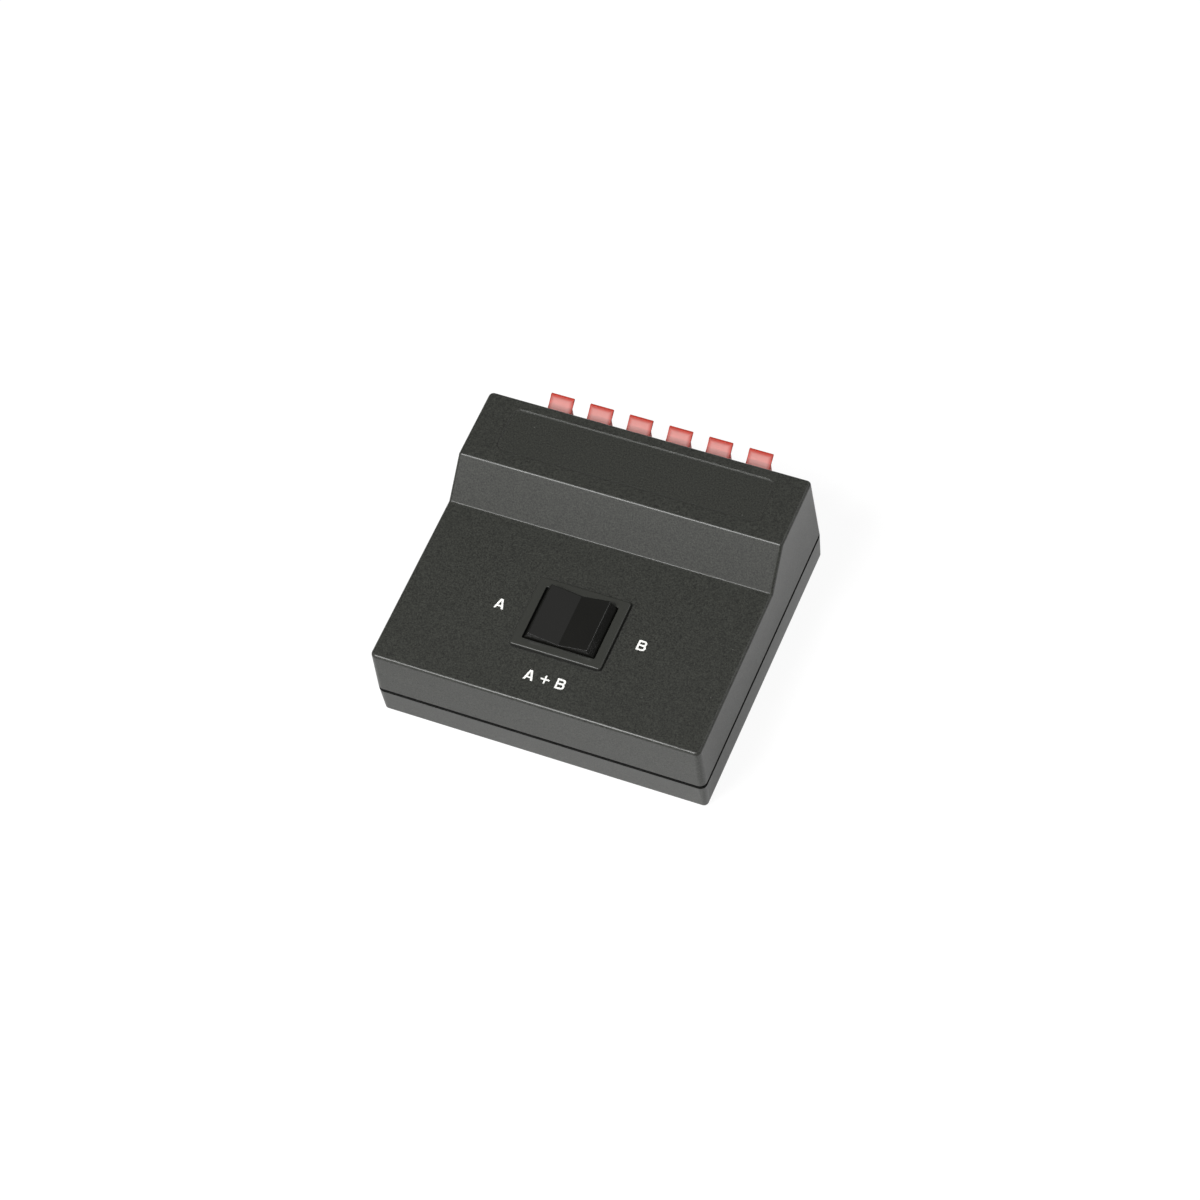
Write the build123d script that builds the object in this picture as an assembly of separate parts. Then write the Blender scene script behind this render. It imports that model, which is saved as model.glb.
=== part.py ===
from build123d import *
import os
from math import atan2, cos, radians, sin, tan

# Speaker selector box: a low desk-shaped housing with a three-position rocker switch on its
# front deck and twelve sprung wire clamps, in two rows of six, along its back.
# Frame: +X to the right, +Y to the back, +Z up. The origin is at the middle of the whole
# outline in plan, at the height of the surface that the rubber feet stand on.
# Lengths are in millimetres, angles in degrees.

# ---------------------------------------------------------------- driving dimensions
# Housing, outside. Heights are from the underside of the base, setbacks from the front edge.
HOUSING_WIDTH = 112.0
HOUSING_DEPTH = 100.8
PARTING_HEIGHT = 12.3
DECK_HEIGHT = 30.85
TOP_HEIGHT = 42.3
RISER_FOOT_SETBACK = 62.2
RIDGE_SETBACK = 73.5
SIDE_DRAFT = 1.2
FRONT_DRAFT = 2.6
REAR_DRAFT = 3.4
PARTING_CORNER = 2.3
TOP_CORNER = 1.6
EDGE_ROUND = 1.0
RISER_FILLET = 0.6
BASE_CORNER = 1.5
BASE_INSET = 0.5
BASE_EDGE_ROUND = 0.4
SHADOW_GAP = 0.7

# Housing, inside.
WALL = 2.2
FLOOR = 2.0
INNER_CORNER = 0.6
LIP_THICKNESS = 1.0
LIP_RISE = 1.8
LIP_CLEARANCE = 0.15
RIB_THICKNESS = 1.4
DECK_RIB_DEPTH = 4.0
FLOOR_RIB_HEIGHT = 2.5

# Label recess in the top face.
LABEL_WIDTH = 90.4
LABEL_DEPTH = 16.8
LABEL_SINK = 0.3
LABEL_CORNER = 3.0
LABEL_REAR_MARGIN = 5.4

# Housing screws and the columns they join.
SCREW_SIDE_INSET = 7.0
SCREW_END_INSET = 8.8
PILLAR_RADIUS = 4.5
BOSS_RADIUS = 3.5
GUSSET_HEIGHT = 9.0
SCREW_RADIUS = 1.5
SCREW_LENGTH = 14.0
SCREW_HEAD_RADIUS = 2.8
SCREW_HEAD_HEIGHT = 2.0
SCREW_SINK = 3.0
SCREW_POINT = 1.6
HEAD_CLEARANCE = 0.3
SHANK_CLEARANCE = 0.2
PILOT_CLEARANCE = 0.03
PILOT_OVERRUN = 2.0
HEAD_CROWN_SHARE = 0.72
HEAD_BRIM_SHARE = 0.45
DRIVE_RADIUS = 1.0
DRIVE_DEPTH = 1.1
DRIVE_BLADE_SHARE = 0.45

# Rubber feet.
FOOT_RADIUS = 4.5
FOOT_THICKNESS = 2.0
FOOT_PROUD = 1.0
FOOT_ROUND = 0.5
FOOT_CLEARANCE = 0.1
FOOT_SIDE_INSET = 17.5
FOOT_END_INSET = 10.0

# Rocker switch. Heights are from the deck surface, up. Its ends are to the left and right.
SWITCH_SETBACK = 31.6
SWITCH_BODY_WIDTH = 27.6
SWITCH_BODY_DEPTH = 22.0
BEZEL_END_OVERHANG = 1.7
BEZEL_SIDE_OVERHANG = 2.0
BEZEL_HEIGHT = 1.25
BEZEL_CORNER = 1.0
BEZEL_ROUND = 0.45
WELL_END_WALL = 1.45
WELL_SIDE_WALL = 1.05
WELL_CORNER = 0.5
CUTOUT_CLEARANCE = 0.2
LATCH_REACH = 1.2
LATCH_LENGTH = 4.3
LATCH_WIDTH = 8.0

# Rocker. Its two faces fall from a raised edge at each end to a valley in the middle.
ROCKER_SIDE_GAP = 0.3
ROCKER_END_GAP = 0.3
ROCKER_END_HEIGHT = 0.95
ROCKER_EDGE_INSET = 1.9
ROCKER_EDGE_HEIGHT = 4.3
ROCKER_VALLEY_HEIGHT = 2.25
ROCKER_SKIRT_DROP = 3.0
ROCKER_WALL = 1.3
ROCKER_ROUND = 0.3
ROCKER_TILT = 11.0
PIVOT_DROP = 1.0
PIVOT_RADIUS = 1.25
PIVOT_REACH = 0.8
PIVOT_END_CLEARANCE = 0.1
RUNNING_CLEARANCE = 0.05

# Drive finger under the rocker, and the contact carriage that it pushes.
FINGER_REACH = 9.2
FINGER_THICKNESS = 1.3
FINGER_TIP_RADIUS = 0.9
FINGER_WIDTH = 5.0
FORK_CLEARANCE = 0.06
FORK_END_CLEARANCE = 0.2
CARRIAGE_END_CLEARANCE = 2.2
CARRIAGE_THICKNESS = 2.2
CARRIAGE_SIDE_CLEARANCE = 0.15
CARRIAGE_ROUND = 0.6

# Detent: a bent leaf whose nose drops into one of three notches in the carriage.
DETENT_ROOM = 2.75
DETENT_NOTCH = 0.5
DETENT_NOTCH_SHARE = 0.45
DETENT_NOSE_GAP = 0.075
DETENT_LEAF = 0.3
DETENT_LEAF_HEIGHT = 1.8
DETENT_END_GAP = 3.15
DETENT_SHOULDER = 1.2
DETENT_FOOT = 1.2
DETENT_POST = 0.8
DETENT_SHOULDER_GAP = 0.4

# Contacts of the switch.
POLE_SIDE_ROOM = 4.95
BRIDGE_LENGTH = 10.6
BRIDGE_WIDTH = 3.0
BRIDGE_THICKNESS = 0.4
STAKE_RADIUS = 0.6
STAKE_OFFSET = 3.4
SLIDING_GAP = 0.02
PAD_THICKNESS = 0.5
PAD_WIDTH = 3.6
COMMON_PAD_LENGTH = 3.6
OUTER_PAD_START = 4.4
OUTER_PAD_LENGTH = 4.2
LUG_OFFSET = 7.0
LUG_WIDTH = 4.8
LUG_THICKNESS = 0.8
LUG_REACH = 6.0
LUG_HOLE_RADIUS = 0.9
LUG_TIP_CHAMFER = 0.9
SWITCH_BASE_THICKNESS = 2.3
SWITCH_BASE_FLANGE = 0.8
SWITCH_BASE_CLEARANCE = 0.1
SLOT_CLEARANCE = 0.05

# Terminal block: two rows of six sprung clamps.
COLUMNS = 6
COLUMN_PITCH = 13.75
ROW_PITCH = 10.8
BLOCK_RIM_GAP = 0.5
BLOCK_DEPTH = 15.0
BLOCK_REST_THICKNESS = 1.6
BLOCK_FLOOR = 1.3
BLOCK_ROOF = 1.4
SEAT_SINK = 1.7
WINDOW_CLEARANCE = 0.2
FLANGE_THICKNESS = 1.6
FLANGE_SIDE = 6.0
FLANGE_TOP = 1.6
FLANGE_CORNER = 1.5
CELL_CLEARANCE = 0.3
POCKET_HEIGHT = 4.3
POCKET_DEPTH = 5.0
POCKET_WALL = 1.5
SWING_CLEARANCE = 0.4
WIRE_HOLE_LENGTH = 3.8
WIRE_HOLE_HEIGHT = 2.8
WIRE_HOLE_MARGIN = 0.4
BACK_PLATE_THICKNESS = 1.5
BLOCK_SCREW_OFFSET = 3.2
BLOCK_SCREW_RADIUS = 1.1
BLOCK_SCREW_LENGTH = 6.0
BLOCK_SCREW_HEAD_RADIUS = 2.0
BLOCK_SCREW_HEAD_HEIGHT = 1.4
BLOCK_BOSS_RADIUS = 2.8
BLOCK_BOSS_REACH = 5.6
PLATE_SCREW_COLUMNS = 2

# Clamp levers.
LEVER_WIDTH = 8.17
ARM_THICKNESS = 2.6
ARM_TOP_CLEARANCE = 0.1
TRUNNION_RADIUS = 1.0
TRUNNION_REACH = 1.2
TRUNNION_END_CLEARANCE = 0.15
HUB_SETBACK = 7.4
ARM_REACH = 6.6
TAB_REACH = 9.2
TAB_RISE = 3.0
TAB_SLOPE = 35.0
TAB_THICKNESS = 0.8
TAB_LAND = 0.75
TAB_TIP_HEIGHT = 0.6
TAB_BOW_DEPTH = 0.25
TAB_EDGE_ROUND = 0.2
LEVER_PRESS = 9.0

# Clamp springs.
SPRING_WIDTH = 6.0
SPRING_THICKNESS = 0.4
SPRING_BEND = 1.2
SPRING_NOSE_BEND = 0.55
SPRING_NOSE_OFFSET = 2.0
SPRING_NOSE_LENGTH = 1.9
SPRING_NOSE_GAP = 0.02
SPRING_SETBACK = 0.6
SPRING_TAIL = 2.5
SPRING_WINDOW_WIDTH = 3.2
SPRING_WINDOW_HEIGHT = 2.0

# Wiring.
WIRE_RADIUS = 0.8
WIRE_LEAD = 8.2
BEND_SHARE = 0.45
JUMPER_SPREAD = 1.3
JUMPER_LEAD = 5.6
JUMPER_SHOULDER = 4.0
JUMPER_BOW = 2.0
JUMPER_RISE = 1.4
JOINT_HEIGHT = 2.5

# Two lengths that differ by less than this are the same plane.
SAME_PLANE = 0.0001

# ---------------------------------------------------------------- planes worked out from them
OUTLINE_DEPTH = HOUSING_DEPTH - SEAT_SINK + TAB_REACH
FRONT_Y = -OUTLINE_DEPTH / 2
REAR_Y = FRONT_Y + HOUSING_DEPTH
BASE_Z = FOOT_PROUD
PARTING_Z = BASE_Z + PARTING_HEIGHT
DECK_Z = BASE_Z + DECK_HEIGHT
TOP_Z = BASE_Z + TOP_HEIGHT
FLOOR_Z = BASE_Z + FLOOR
LIP_Z = PARTING_Z + LIP_RISE
RISER_FOOT_Y = FRONT_Y + RISER_FOOT_SETBACK
RIDGE_Y = FRONT_Y + RIDGE_SETBACK

SWITCH_Y = FRONT_Y + SWITCH_SETBACK
BEZEL_WIDTH = SWITCH_BODY_WIDTH + 2 * BEZEL_END_OVERHANG
BEZEL_DEPTH = SWITCH_BODY_DEPTH + 2 * BEZEL_SIDE_OVERHANG
WELL_WIDTH = SWITCH_BODY_WIDTH - 2 * WELL_END_WALL
WELL_DEPTH = SWITCH_BODY_DEPTH - 2 * WELL_SIDE_WALL
ROCKER_DEPTH = WELL_DEPTH - 2 * ROCKER_SIDE_GAP
ROCKER_RADIUS = WELL_WIDTH / 2 - ROCKER_END_GAP
ROCKER_END_X = (ROCKER_RADIUS**2 - (ROCKER_END_HEIGHT + PIVOT_DROP) ** 2) ** 0.5
ROCKER_EDGE_X = ROCKER_END_X - ROCKER_EDGE_INSET
PIVOT_Z = DECK_Z - PIVOT_DROP
TIP_Z = PIVOT_Z - FINGER_REACH
CARRIAGE_TRAVEL = FINGER_REACH * radians(ROCKER_TILT)
CARRIAGE_HALF_LENGTH = WELL_WIDTH / 2 - CARRIAGE_TRAVEL - CARRIAGE_END_CLEARANCE
CARRIAGE_LOW_Z = TIP_Z - CARRIAGE_THICKNESS / 2
DETENT_FACE = WELL_DEPTH / 2 - DETENT_ROOM
DETENT_SPAN = WELL_WIDTH / 2 - DETENT_END_GAP
POLE_OFFSET = WELL_DEPTH / 2 - POLE_SIDE_ROOM
PAD_TOP_Z = CARRIAGE_LOW_Z - BRIDGE_THICKNESS - SLIDING_GAP
SWITCH_BASE_TOP_Z = PAD_TOP_Z - PAD_THICKNESS
SWITCH_BASE_LOW_Z = SWITCH_BASE_TOP_Z - SWITCH_BASE_THICKNESS
LUG_TIP_Z = SWITCH_BASE_LOW_Z - LUG_REACH

SEAT_Y = REAR_Y - SEAT_SINK
FLANGE_Y = SEAT_Y + FLANGE_THICKNESS
BLOCK_FRONT_Y = SEAT_Y - BLOCK_DEPTH
PLATE_FRONT_Y = BLOCK_FRONT_Y - BACK_PLATE_THICKNESS
POCKET_END_Y = FLANGE_Y - POCKET_DEPTH
CHAMBER_END_Y = POCKET_END_Y - POCKET_WALL
HUB_Y = SEAT_Y - HUB_SETBACK
CELL_WIDTH = LEVER_WIDTH + 2 * CELL_CLEARANCE
BLOCK_HALF_WIDTH = COLUMNS * COLUMN_PITCH / 2
BLOCK_LOW_Z = PARTING_Z + BLOCK_RIM_GAP
ARM_DIP = (FLANGE_THICKNESS + HUB_SETBACK) * sin(radians(LEVER_PRESS))
ARM_RISE = POCKET_HEIGHT + ARM_DIP + SWING_CLEARANCE
CELL_HEIGHT = ARM_RISE + ARM_THICKNESS + ARM_TOP_CLEARANCE
ROW_FLOORS = [BLOCK_LOW_Z + BLOCK_FLOOR, BLOCK_LOW_Z + BLOCK_FLOOR + ROW_PITCH]
BLOCK_TOP_Z = ROW_FLOORS[1] + CELL_HEIGHT + BLOCK_ROOF
BLOCK_MID_Z = (BLOCK_LOW_Z + BLOCK_TOP_Z) / 2
COLUMN_XS = [(i - (COLUMNS - 1) / 2) * COLUMN_PITCH for i in range(COLUMNS)]
HUB_RADIUS = ARM_THICKNESS / 2
HUB_RISE = ARM_RISE + HUB_RADIUS
WIRE_HOLE_RISE = POCKET_HEIGHT - WIRE_HOLE_HEIGHT / 2 - WIRE_HOLE_MARGIN
LIP_BREAK = BLOCK_HALF_WIDTH + FLANGE_SIDE + 2 * WINDOW_CLEARANCE

SCREW_SPOTS = [
    (side * (HOUSING_WIDTH / 2 - SCREW_SIDE_INSET), y)
    for side in (-1, 1)
    for y in (FRONT_Y + SCREW_END_INSET, REAR_Y - SCREW_END_INSET)
]
FOOT_SPOTS = [
    (side * (HOUSING_WIDTH / 2 - FOOT_SIDE_INSET), y)
    for side in (-1, 1)
    for y in (FRONT_Y + FOOT_END_INSET, REAR_Y - FOOT_END_INSET)
]
HEAD_SEAT_Z = BASE_Z + SCREW_SINK + SCREW_HEAD_HEIGHT
BLOCK_SCREW_XS = [side * (BLOCK_HALF_WIDTH + BLOCK_SCREW_OFFSET) for side in (-1, 1)]
PLATE_SCREW_XS = [side * PLATE_SCREW_COLUMNS * COLUMN_PITCH for side in (-1, 1)]


# ---------------------------------------------------------------- small helpers
def span(x0, x1, y0, y1, z0, z1):
    """A block between two corners."""
    size = Box(x1 - x0, y1 - y0, z1 - z0)
    return Pos((x0 + x1) / 2, (y0 + y1) / 2, (z0 + z1) / 2) * size


def column(x, y, z0, z1, radius):
    """An upright round bar from z0 to z1."""
    return Pos(x, y, (z0 + z1) / 2) * Cylinder(radius, z1 - z0)


def bar_along_y(x, y0, y1, z, radius):
    """A round bar along Y from y0 to y1."""
    return Pos(x, (y0 + y1) / 2, z) * Rot(90, 0, 0) * Cylinder(radius, y1 - y0)


def bar_along_x(x0, x1, y, z, radius):
    """A round bar along X from x0 to x1."""
    return Pos((x0 + x1) / 2, y, z) * Rot(0, 90, 0) * Cylinder(radius, x1 - x0)


def across(face, width, x=0.0):
    """A face in the YZ plane made width wide about x."""
    return Pos(x, 0, 0) * extrude(face, amount=width / 2, dir=(1, 0, 0), both=True)


def flat(sketch, x, y, z0, z1):
    """A plan outline, drawn about its own centre, from z0 up to z1."""
    return Pos(x, y, z0) * extrude(sketch, amount=z1 - z0)


def pan_screw(radius, length, head_radius, head_height):
    """A pan-head screw along +Z, with the underside of its head at the origin and a plain point."""
    crown = head_radius * HEAD_CROWN_SHARE
    profile = Polyline(
        (0, 0, -head_height),
        (crown, 0, -head_height),
        (head_radius, 0, -head_height * HEAD_BRIM_SHARE),
        (head_radius, 0, 0),
        (radius, 0, 0),
        (radius, 0, length - SCREW_POINT),
        (0, 0, length),
        close=True,
    )
    body = revolve(make_face(profile), Axis.Z)
    blade = Box(2 * DRIVE_RADIUS, DRIVE_RADIUS * DRIVE_BLADE_SHARE, 2 * DRIVE_DEPTH)
    cross = Pos(0, 0, -head_height) * (blade + Rot(0, 0, 90) * blade)
    return body - cross


def upright(sketch, x, z, y0, y1):
    """An outline drawn as seen from the front, standing from y0 back to y1."""
    return Pos(x, y1, z) * Rot(90, 0, 0) * extrude(sketch, amount=y1 - y0)


def lengthwise(points, depth, y):
    """A closed XZ outline, given as points, made depth deep about y."""
    face = make_face(Polyline([(px, 0, pz) for px, pz in points], close=True))
    return Pos(0, y, 0) * extrude(face, amount=depth / 2, dir=(0, 1, 0), both=True)


def side_face(points):
    """A face in the YZ plane from (y, z) points."""
    return make_face(Polyline([(0, py, pz) for py, pz in points], close=True))


# ---------------------------------------------------------------- housing
def cover_section(z, inset):
    """The cover's plan outline at height z, moved inwards by inset."""
    rise = z - PARTING_Z
    front = FRONT_Y + rise * tan(radians(FRONT_DRAFT)) + inset
    rear = REAR_Y - rise * tan(radians(REAR_DRAFT)) - inset
    width = HOUSING_WIDTH - 2 * rise * tan(radians(SIDE_DRAFT)) - 2 * inset
    shrink = (PARTING_CORNER - TOP_CORNER) * rise / (TOP_Z - PARTING_Z)
    corner = max(PARTING_CORNER - shrink - inset, INNER_CORNER)
    return Pos(0, (front + rear) / 2, z) * RectangleRounded(width, rear - front, corner)


def deck_step(inset):
    """What is cut away above the deck and in front of the riser, grown into the part by inset."""
    slope = atan2(TOP_Z - DECK_Z, RIDGE_Y - RISER_FOOT_Y)
    top = TOP_Z + WALL
    foot_y = RISER_FOOT_Y + inset * tan(slope / 2)
    head_y = RISER_FOOT_Y + (inset + (top - DECK_Z) * cos(slope)) / sin(slope)
    front = FRONT_Y - WALL
    points = [(front, DECK_Z - inset), (foot_y, DECK_Z - inset), (head_y, top), (front, top)]
    return across(side_face(points), HOUSING_WIDTH + 2 * WALL)


def cover_form(inset, low):
    """The desk-shaped solid from height low to the top, moved inwards by inset."""
    tapered = loft([cover_section(low, inset), cover_section(TOP_Z - inset, inset)], ruled=True)
    return tapered - deck_step(inset)


def near(value, target):
    """True where two lengths agree closely enough to be the same plane."""
    return abs(value - target) < SAME_PLANE


def rounded_cover_form():
    """The outside of the cover, with its upper edges and the foot of the riser rounded."""
    form = cover_form(0, PARTING_Z)
    foot = [e for e in form.edges() if near(e.center().Y, RISER_FOOT_Y) and near(e.center().Z, DECK_Z)]
    form = fillet(foot, RISER_FILLET)
    rims = []
    for edge in form.edges():
        low, high = edge.bounding_box().min.Z, edge.bounding_box().max.Z
        middle_y = edge.center().Y
        on_deck = near(low, DECK_Z) and near(high, DECK_Z) and middle_y < RISER_FOOT_Y - RISER_FILLET
        on_top = near(low, TOP_Z) and near(high, TOP_Z)
        up_riser = low > DECK_Z - EDGE_ROUND and high > low + EDGE_ROUND and middle_y < RIDGE_Y
        if on_deck or on_top or up_riser:
            rims.append(edge)
    return fillet(rims, EDGE_ROUND)


def lip_outline(inset):
    """The housing's plan outline at the parting line, moved inwards by inset."""
    corner = max(PARTING_CORNER - inset, INNER_CORNER)
    return RectangleRounded(HOUSING_WIDTH - 2 * inset, HOUSING_DEPTH - 2 * inset, corner)


def label_recess():
    """What is cut from the top face for the label. Its sides slope at 45 degrees."""
    y = REAR_Y - LABEL_REAR_MARGIN - LABEL_DEPTH / 2

    def outline(z):
        grow = 2 * (z - TOP_Z)
        corner = LABEL_CORNER + grow / 2
        return Pos(0, y, z) * RectangleRounded(LABEL_WIDTH + grow, LABEL_DEPTH + grow, corner)

    return loft([outline(TOP_Z - LABEL_SINK), outline(TOP_Z + LABEL_SINK)], ruled=True)


def top_cover():
    middle = (FRONT_Y + REAR_Y) / 2
    outer = rounded_cover_form()
    cover = outer - cover_form(WALL, PARTING_Z - WALL)

    # Rebate that takes the base's lip. It stops short of the terminal block.
    low = PARTING_Z - WALL
    rebate = flat(lip_outline(WALL - LIP_THICKNESS - LIP_CLEARANCE), 0, middle, low, LIP_Z)
    rebate -= span(-LIP_BREAK, LIP_BREAK, REAR_Y - 2 * WALL, REAR_Y, low, LIP_Z)
    cover -= rebate

    # Screw bosses, each tied to the end wall by a gusset.
    for x, y in SCREW_SPOTS:
        wall_y = FRONT_Y if y < middle else REAR_Y
        boss = column(x, y, PARTING_Z, TOP_Z, BOSS_RADIUS)
        gusset = span(
            x - RIB_THICKNESS / 2, x + RIB_THICKNESS / 2,
            min(y, wall_y), max(y, wall_y), LIP_Z, LIP_Z + GUSSET_HEIGHT,
        )
        cover += (boss + gusset) & outer

    # Ribs under the deck beside the switch, and one under the top ahead of the terminal block.
    rib_x = SWITCH_BODY_WIDTH / 2 + LATCH_REACH + DECK_RIB_DEPTH
    for side in (-1, 1):
        x = side * rib_x
        rib = span(
            x - RIB_THICKNESS / 2, x + RIB_THICKNESS / 2,
            FRONT_Y, RISER_FOOT_Y, DECK_Z - WALL - DECK_RIB_DEPTH, DECK_Z - WALL / 2,
        )
        cover += rib & outer
    rib_z = TOP_Z - WALL - DECK_RIB_DEPTH
    rib_y = PLATE_FRONT_Y - DECK_RIB_DEPTH
    top_rib = span(
        -HOUSING_WIDTH / 2, HOUSING_WIDTH / 2,
        rib_y - RIB_THICKNESS / 2, rib_y + RIB_THICKNESS / 2, rib_z, TOP_Z - WALL / 2,
    )
    cover += top_rib & outer

    # A frame that backs the terminal block's seat, and bosses for its screws.
    window = BLOCK_HALF_WIDTH + WINDOW_CLEARANCE
    window_top = BLOCK_TOP_Z + WINDOW_CLEARANCE
    seat = window + FLANGE_SIDE
    cover += span(-seat, seat, SEAT_Y - WALL, SEAT_Y, PARTING_Z, window_top + FLANGE_TOP) & outer
    for x in BLOCK_SCREW_XS:
        cover += bar_along_y(x, SEAT_Y - BLOCK_BOSS_REACH, SEAT_Y, BLOCK_MID_Z, BLOCK_BOSS_RADIUS)

    # Openings: the switch's cut-out, the label recess, the terminal block's window and seat.
    cutout_width = SWITCH_BODY_WIDTH + 2 * CUTOUT_CLEARANCE
    cutout_depth = SWITCH_BODY_DEPTH + 2 * CUTOUT_CLEARANCE
    cutout = RectangleRounded(cutout_width, cutout_depth, WELL_CORNER)
    cover -= flat(cutout, 0, SWITCH_Y, DECK_Z - 2 * WALL, DECK_Z + WALL)
    cover -= label_recess()
    cover -= span(-window, window, SEAT_Y - 2 * WALL, REAR_Y + WALL, low, window_top)
    cover -= span(-seat, seat, SEAT_Y, REAR_Y + WALL, low, window_top + FLANGE_TOP)

    # Pilot holes.
    for x, y in SCREW_SPOTS:
        pilot_top = HEAD_SEAT_Z + SCREW_LENGTH + PILOT_OVERRUN
        cover -= column(x, y, low, pilot_top, SCREW_RADIUS + PILOT_CLEARANCE)
    for x in BLOCK_SCREW_XS:
        pilot_end = FLANGE_Y - BLOCK_SCREW_LENGTH - PILOT_CLEARANCE
        cover -= bar_along_y(x, pilot_end, REAR_Y, BLOCK_MID_Z, BLOCK_SCREW_RADIUS + PILOT_CLEARANCE)
    return cover


def base_tray():
    middle = (FRONT_Y + REAR_Y) / 2
    rim_z = PARTING_Z - SHADOW_GAP
    under_width = HOUSING_WIDTH - 2 * BASE_INSET
    under = RectangleRounded(under_width, HOUSING_DEPTH - 2 * BASE_INSET, BASE_CORNER)
    tray = loft([Pos(0, middle, BASE_Z) * under, Pos(0, middle, rim_z) * lip_outline(0)], ruled=True)
    tray = fillet([e for e in tray.edges() if near(e.center().Z, BASE_Z)], BASE_EDGE_ROUND)
    lip = flat(lip_outline(WALL - LIP_THICKNESS), 0, middle, FLOOR_Z, LIP_Z)
    lip -= span(-LIP_BREAK, LIP_BREAK, REAR_Y - 2 * WALL, REAR_Y, rim_z, LIP_Z)
    tray += lip
    tray -= flat(lip_outline(WALL), 0, middle, FLOOR_Z, LIP_Z)

    # Floor ribs between the pillars, and rests for the terminal block.
    rib_top = FLOOR_Z + FLOOR_RIB_HEIGHT
    half_x = HOUSING_WIDTH / 2 - SCREW_SIDE_INSET
    half_y = HOUSING_DEPTH / 2 - SCREW_END_INSET
    half_rib = RIB_THICKNESS / 2
    low = BASE_Z + FLOOR / 2
    for side in (-1, 1):
        x, y = side * half_x, middle + side * half_y
        tray += span(-half_x, half_x, y - half_rib, y + half_rib, low, rib_top)
        tray += span(x - half_rib, x + half_rib, middle - half_y, middle + half_y, low, rib_top)
    half_rest = BLOCK_REST_THICKNESS / 2
    for x in (PLATE_SCREW_XS[0], 0, PLATE_SCREW_XS[1]):
        front, back = BLOCK_FRONT_Y + WALL, SEAT_Y - 2 * WALL
        tray += span(x - half_rest, x + half_rest, front, back, low, BLOCK_LOW_Z)

    # Pillars with counterbored screw holes, and recesses for the feet.
    for x, y in SCREW_SPOTS:
        tray += column(x, y, low, PARTING_Z, PILLAR_RADIUS)
    for x, y in SCREW_SPOTS:
        tray -= column(x, y, 0, HEAD_SEAT_Z, SCREW_HEAD_RADIUS + HEAD_CLEARANCE)
        tray -= column(x, y, 0, LIP_Z, SCREW_RADIUS + SHANK_CLEARANCE)
    for x, y in FOOT_SPOTS:
        tray -= column(x, y, 0, FOOT_THICKNESS, FOOT_RADIUS + FOOT_CLEARANCE)
    return tray


def cover_screws():
    screw = pan_screw(SCREW_RADIUS, SCREW_LENGTH, SCREW_HEAD_RADIUS, SCREW_HEAD_HEIGHT)
    return Compound(children=[Pos(x, y, HEAD_SEAT_Z) * screw for x, y in SCREW_SPOTS])


def rubber_feet():
    feet = []
    for x, y in FOOT_SPOTS:
        foot = column(x, y, 0, FOOT_THICKNESS, FOOT_RADIUS)
        feet.append(fillet(foot.edges().sort_by(Axis.Z)[0], FOOT_ROUND))
    return Compound(children=feet)


# ---------------------------------------------------------------- rocker switch
def switch_body():
    """The switch's moulding: bezel on the deck, walls through it, and two latches beneath it."""
    low = SWITCH_BASE_LOW_Z + SWITCH_BASE_FLANGE
    frame = RectangleRounded(BEZEL_WIDTH, BEZEL_DEPTH, BEZEL_CORNER)
    bezel = flat(frame, 0, SWITCH_Y, DECK_Z, DECK_Z + BEZEL_HEIGHT)
    bezel = fillet(bezel.edges().group_by(Axis.Z)[-1], BEZEL_ROUND)
    sleeve = RectangleRounded(SWITCH_BODY_WIDTH, SWITCH_BODY_DEPTH, WELL_CORNER)
    body = bezel + flat(sleeve, 0, SWITCH_Y, low, DECK_Z)
    for side in (-1, 1):
        root_x = side * SWITCH_BODY_WIDTH / 2
        catch_z = DECK_Z - WALL
        wedge = [
            (root_x - side * CUTOUT_CLEARANCE, catch_z),
            (root_x + side * LATCH_REACH, catch_z),
            (root_x, catch_z - LATCH_LENGTH),
            (root_x - side * CUTOUT_CLEARANCE, catch_z - LATCH_LENGTH),
        ]
        body += lengthwise(wedge, LATCH_WIDTH, SWITCH_Y)
    well = RectangleRounded(WELL_WIDTH, WELL_DEPTH, WELL_CORNER)
    body -= flat(well, 0, SWITCH_Y, low - WALL, DECK_Z + 2 * BEZEL_HEIGHT)

    # Bores for the rocker's pivots, closed at their outer ends.
    reach = ROCKER_DEPTH / 2 + PIVOT_REACH + PIVOT_END_CLEARANCE
    bore = PIVOT_RADIUS + RUNNING_CLEARANCE
    body -= bar_along_y(0, SWITCH_Y - reach, SWITCH_Y + reach, PIVOT_Z, bore)

    # Posts that keep the detent leaf from sliding along its wall.
    wall_y = SWITCH_Y + WELL_DEPTH / 2
    for side in (-1, 1):
        inner_x = side * (DETENT_SPAN + RUNNING_CLEARANCE)
        outer_x = inner_x + side * DETENT_POST
        body += span(
            min(inner_x, outer_x), max(inner_x, outer_x),
            wall_y - DETENT_POST, wall_y + CUTOUT_CLEARANCE, CARRIAGE_LOW_Z, TIP_Z + CARRIAGE_THICKNESS / 2,
        )
    return body


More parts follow.
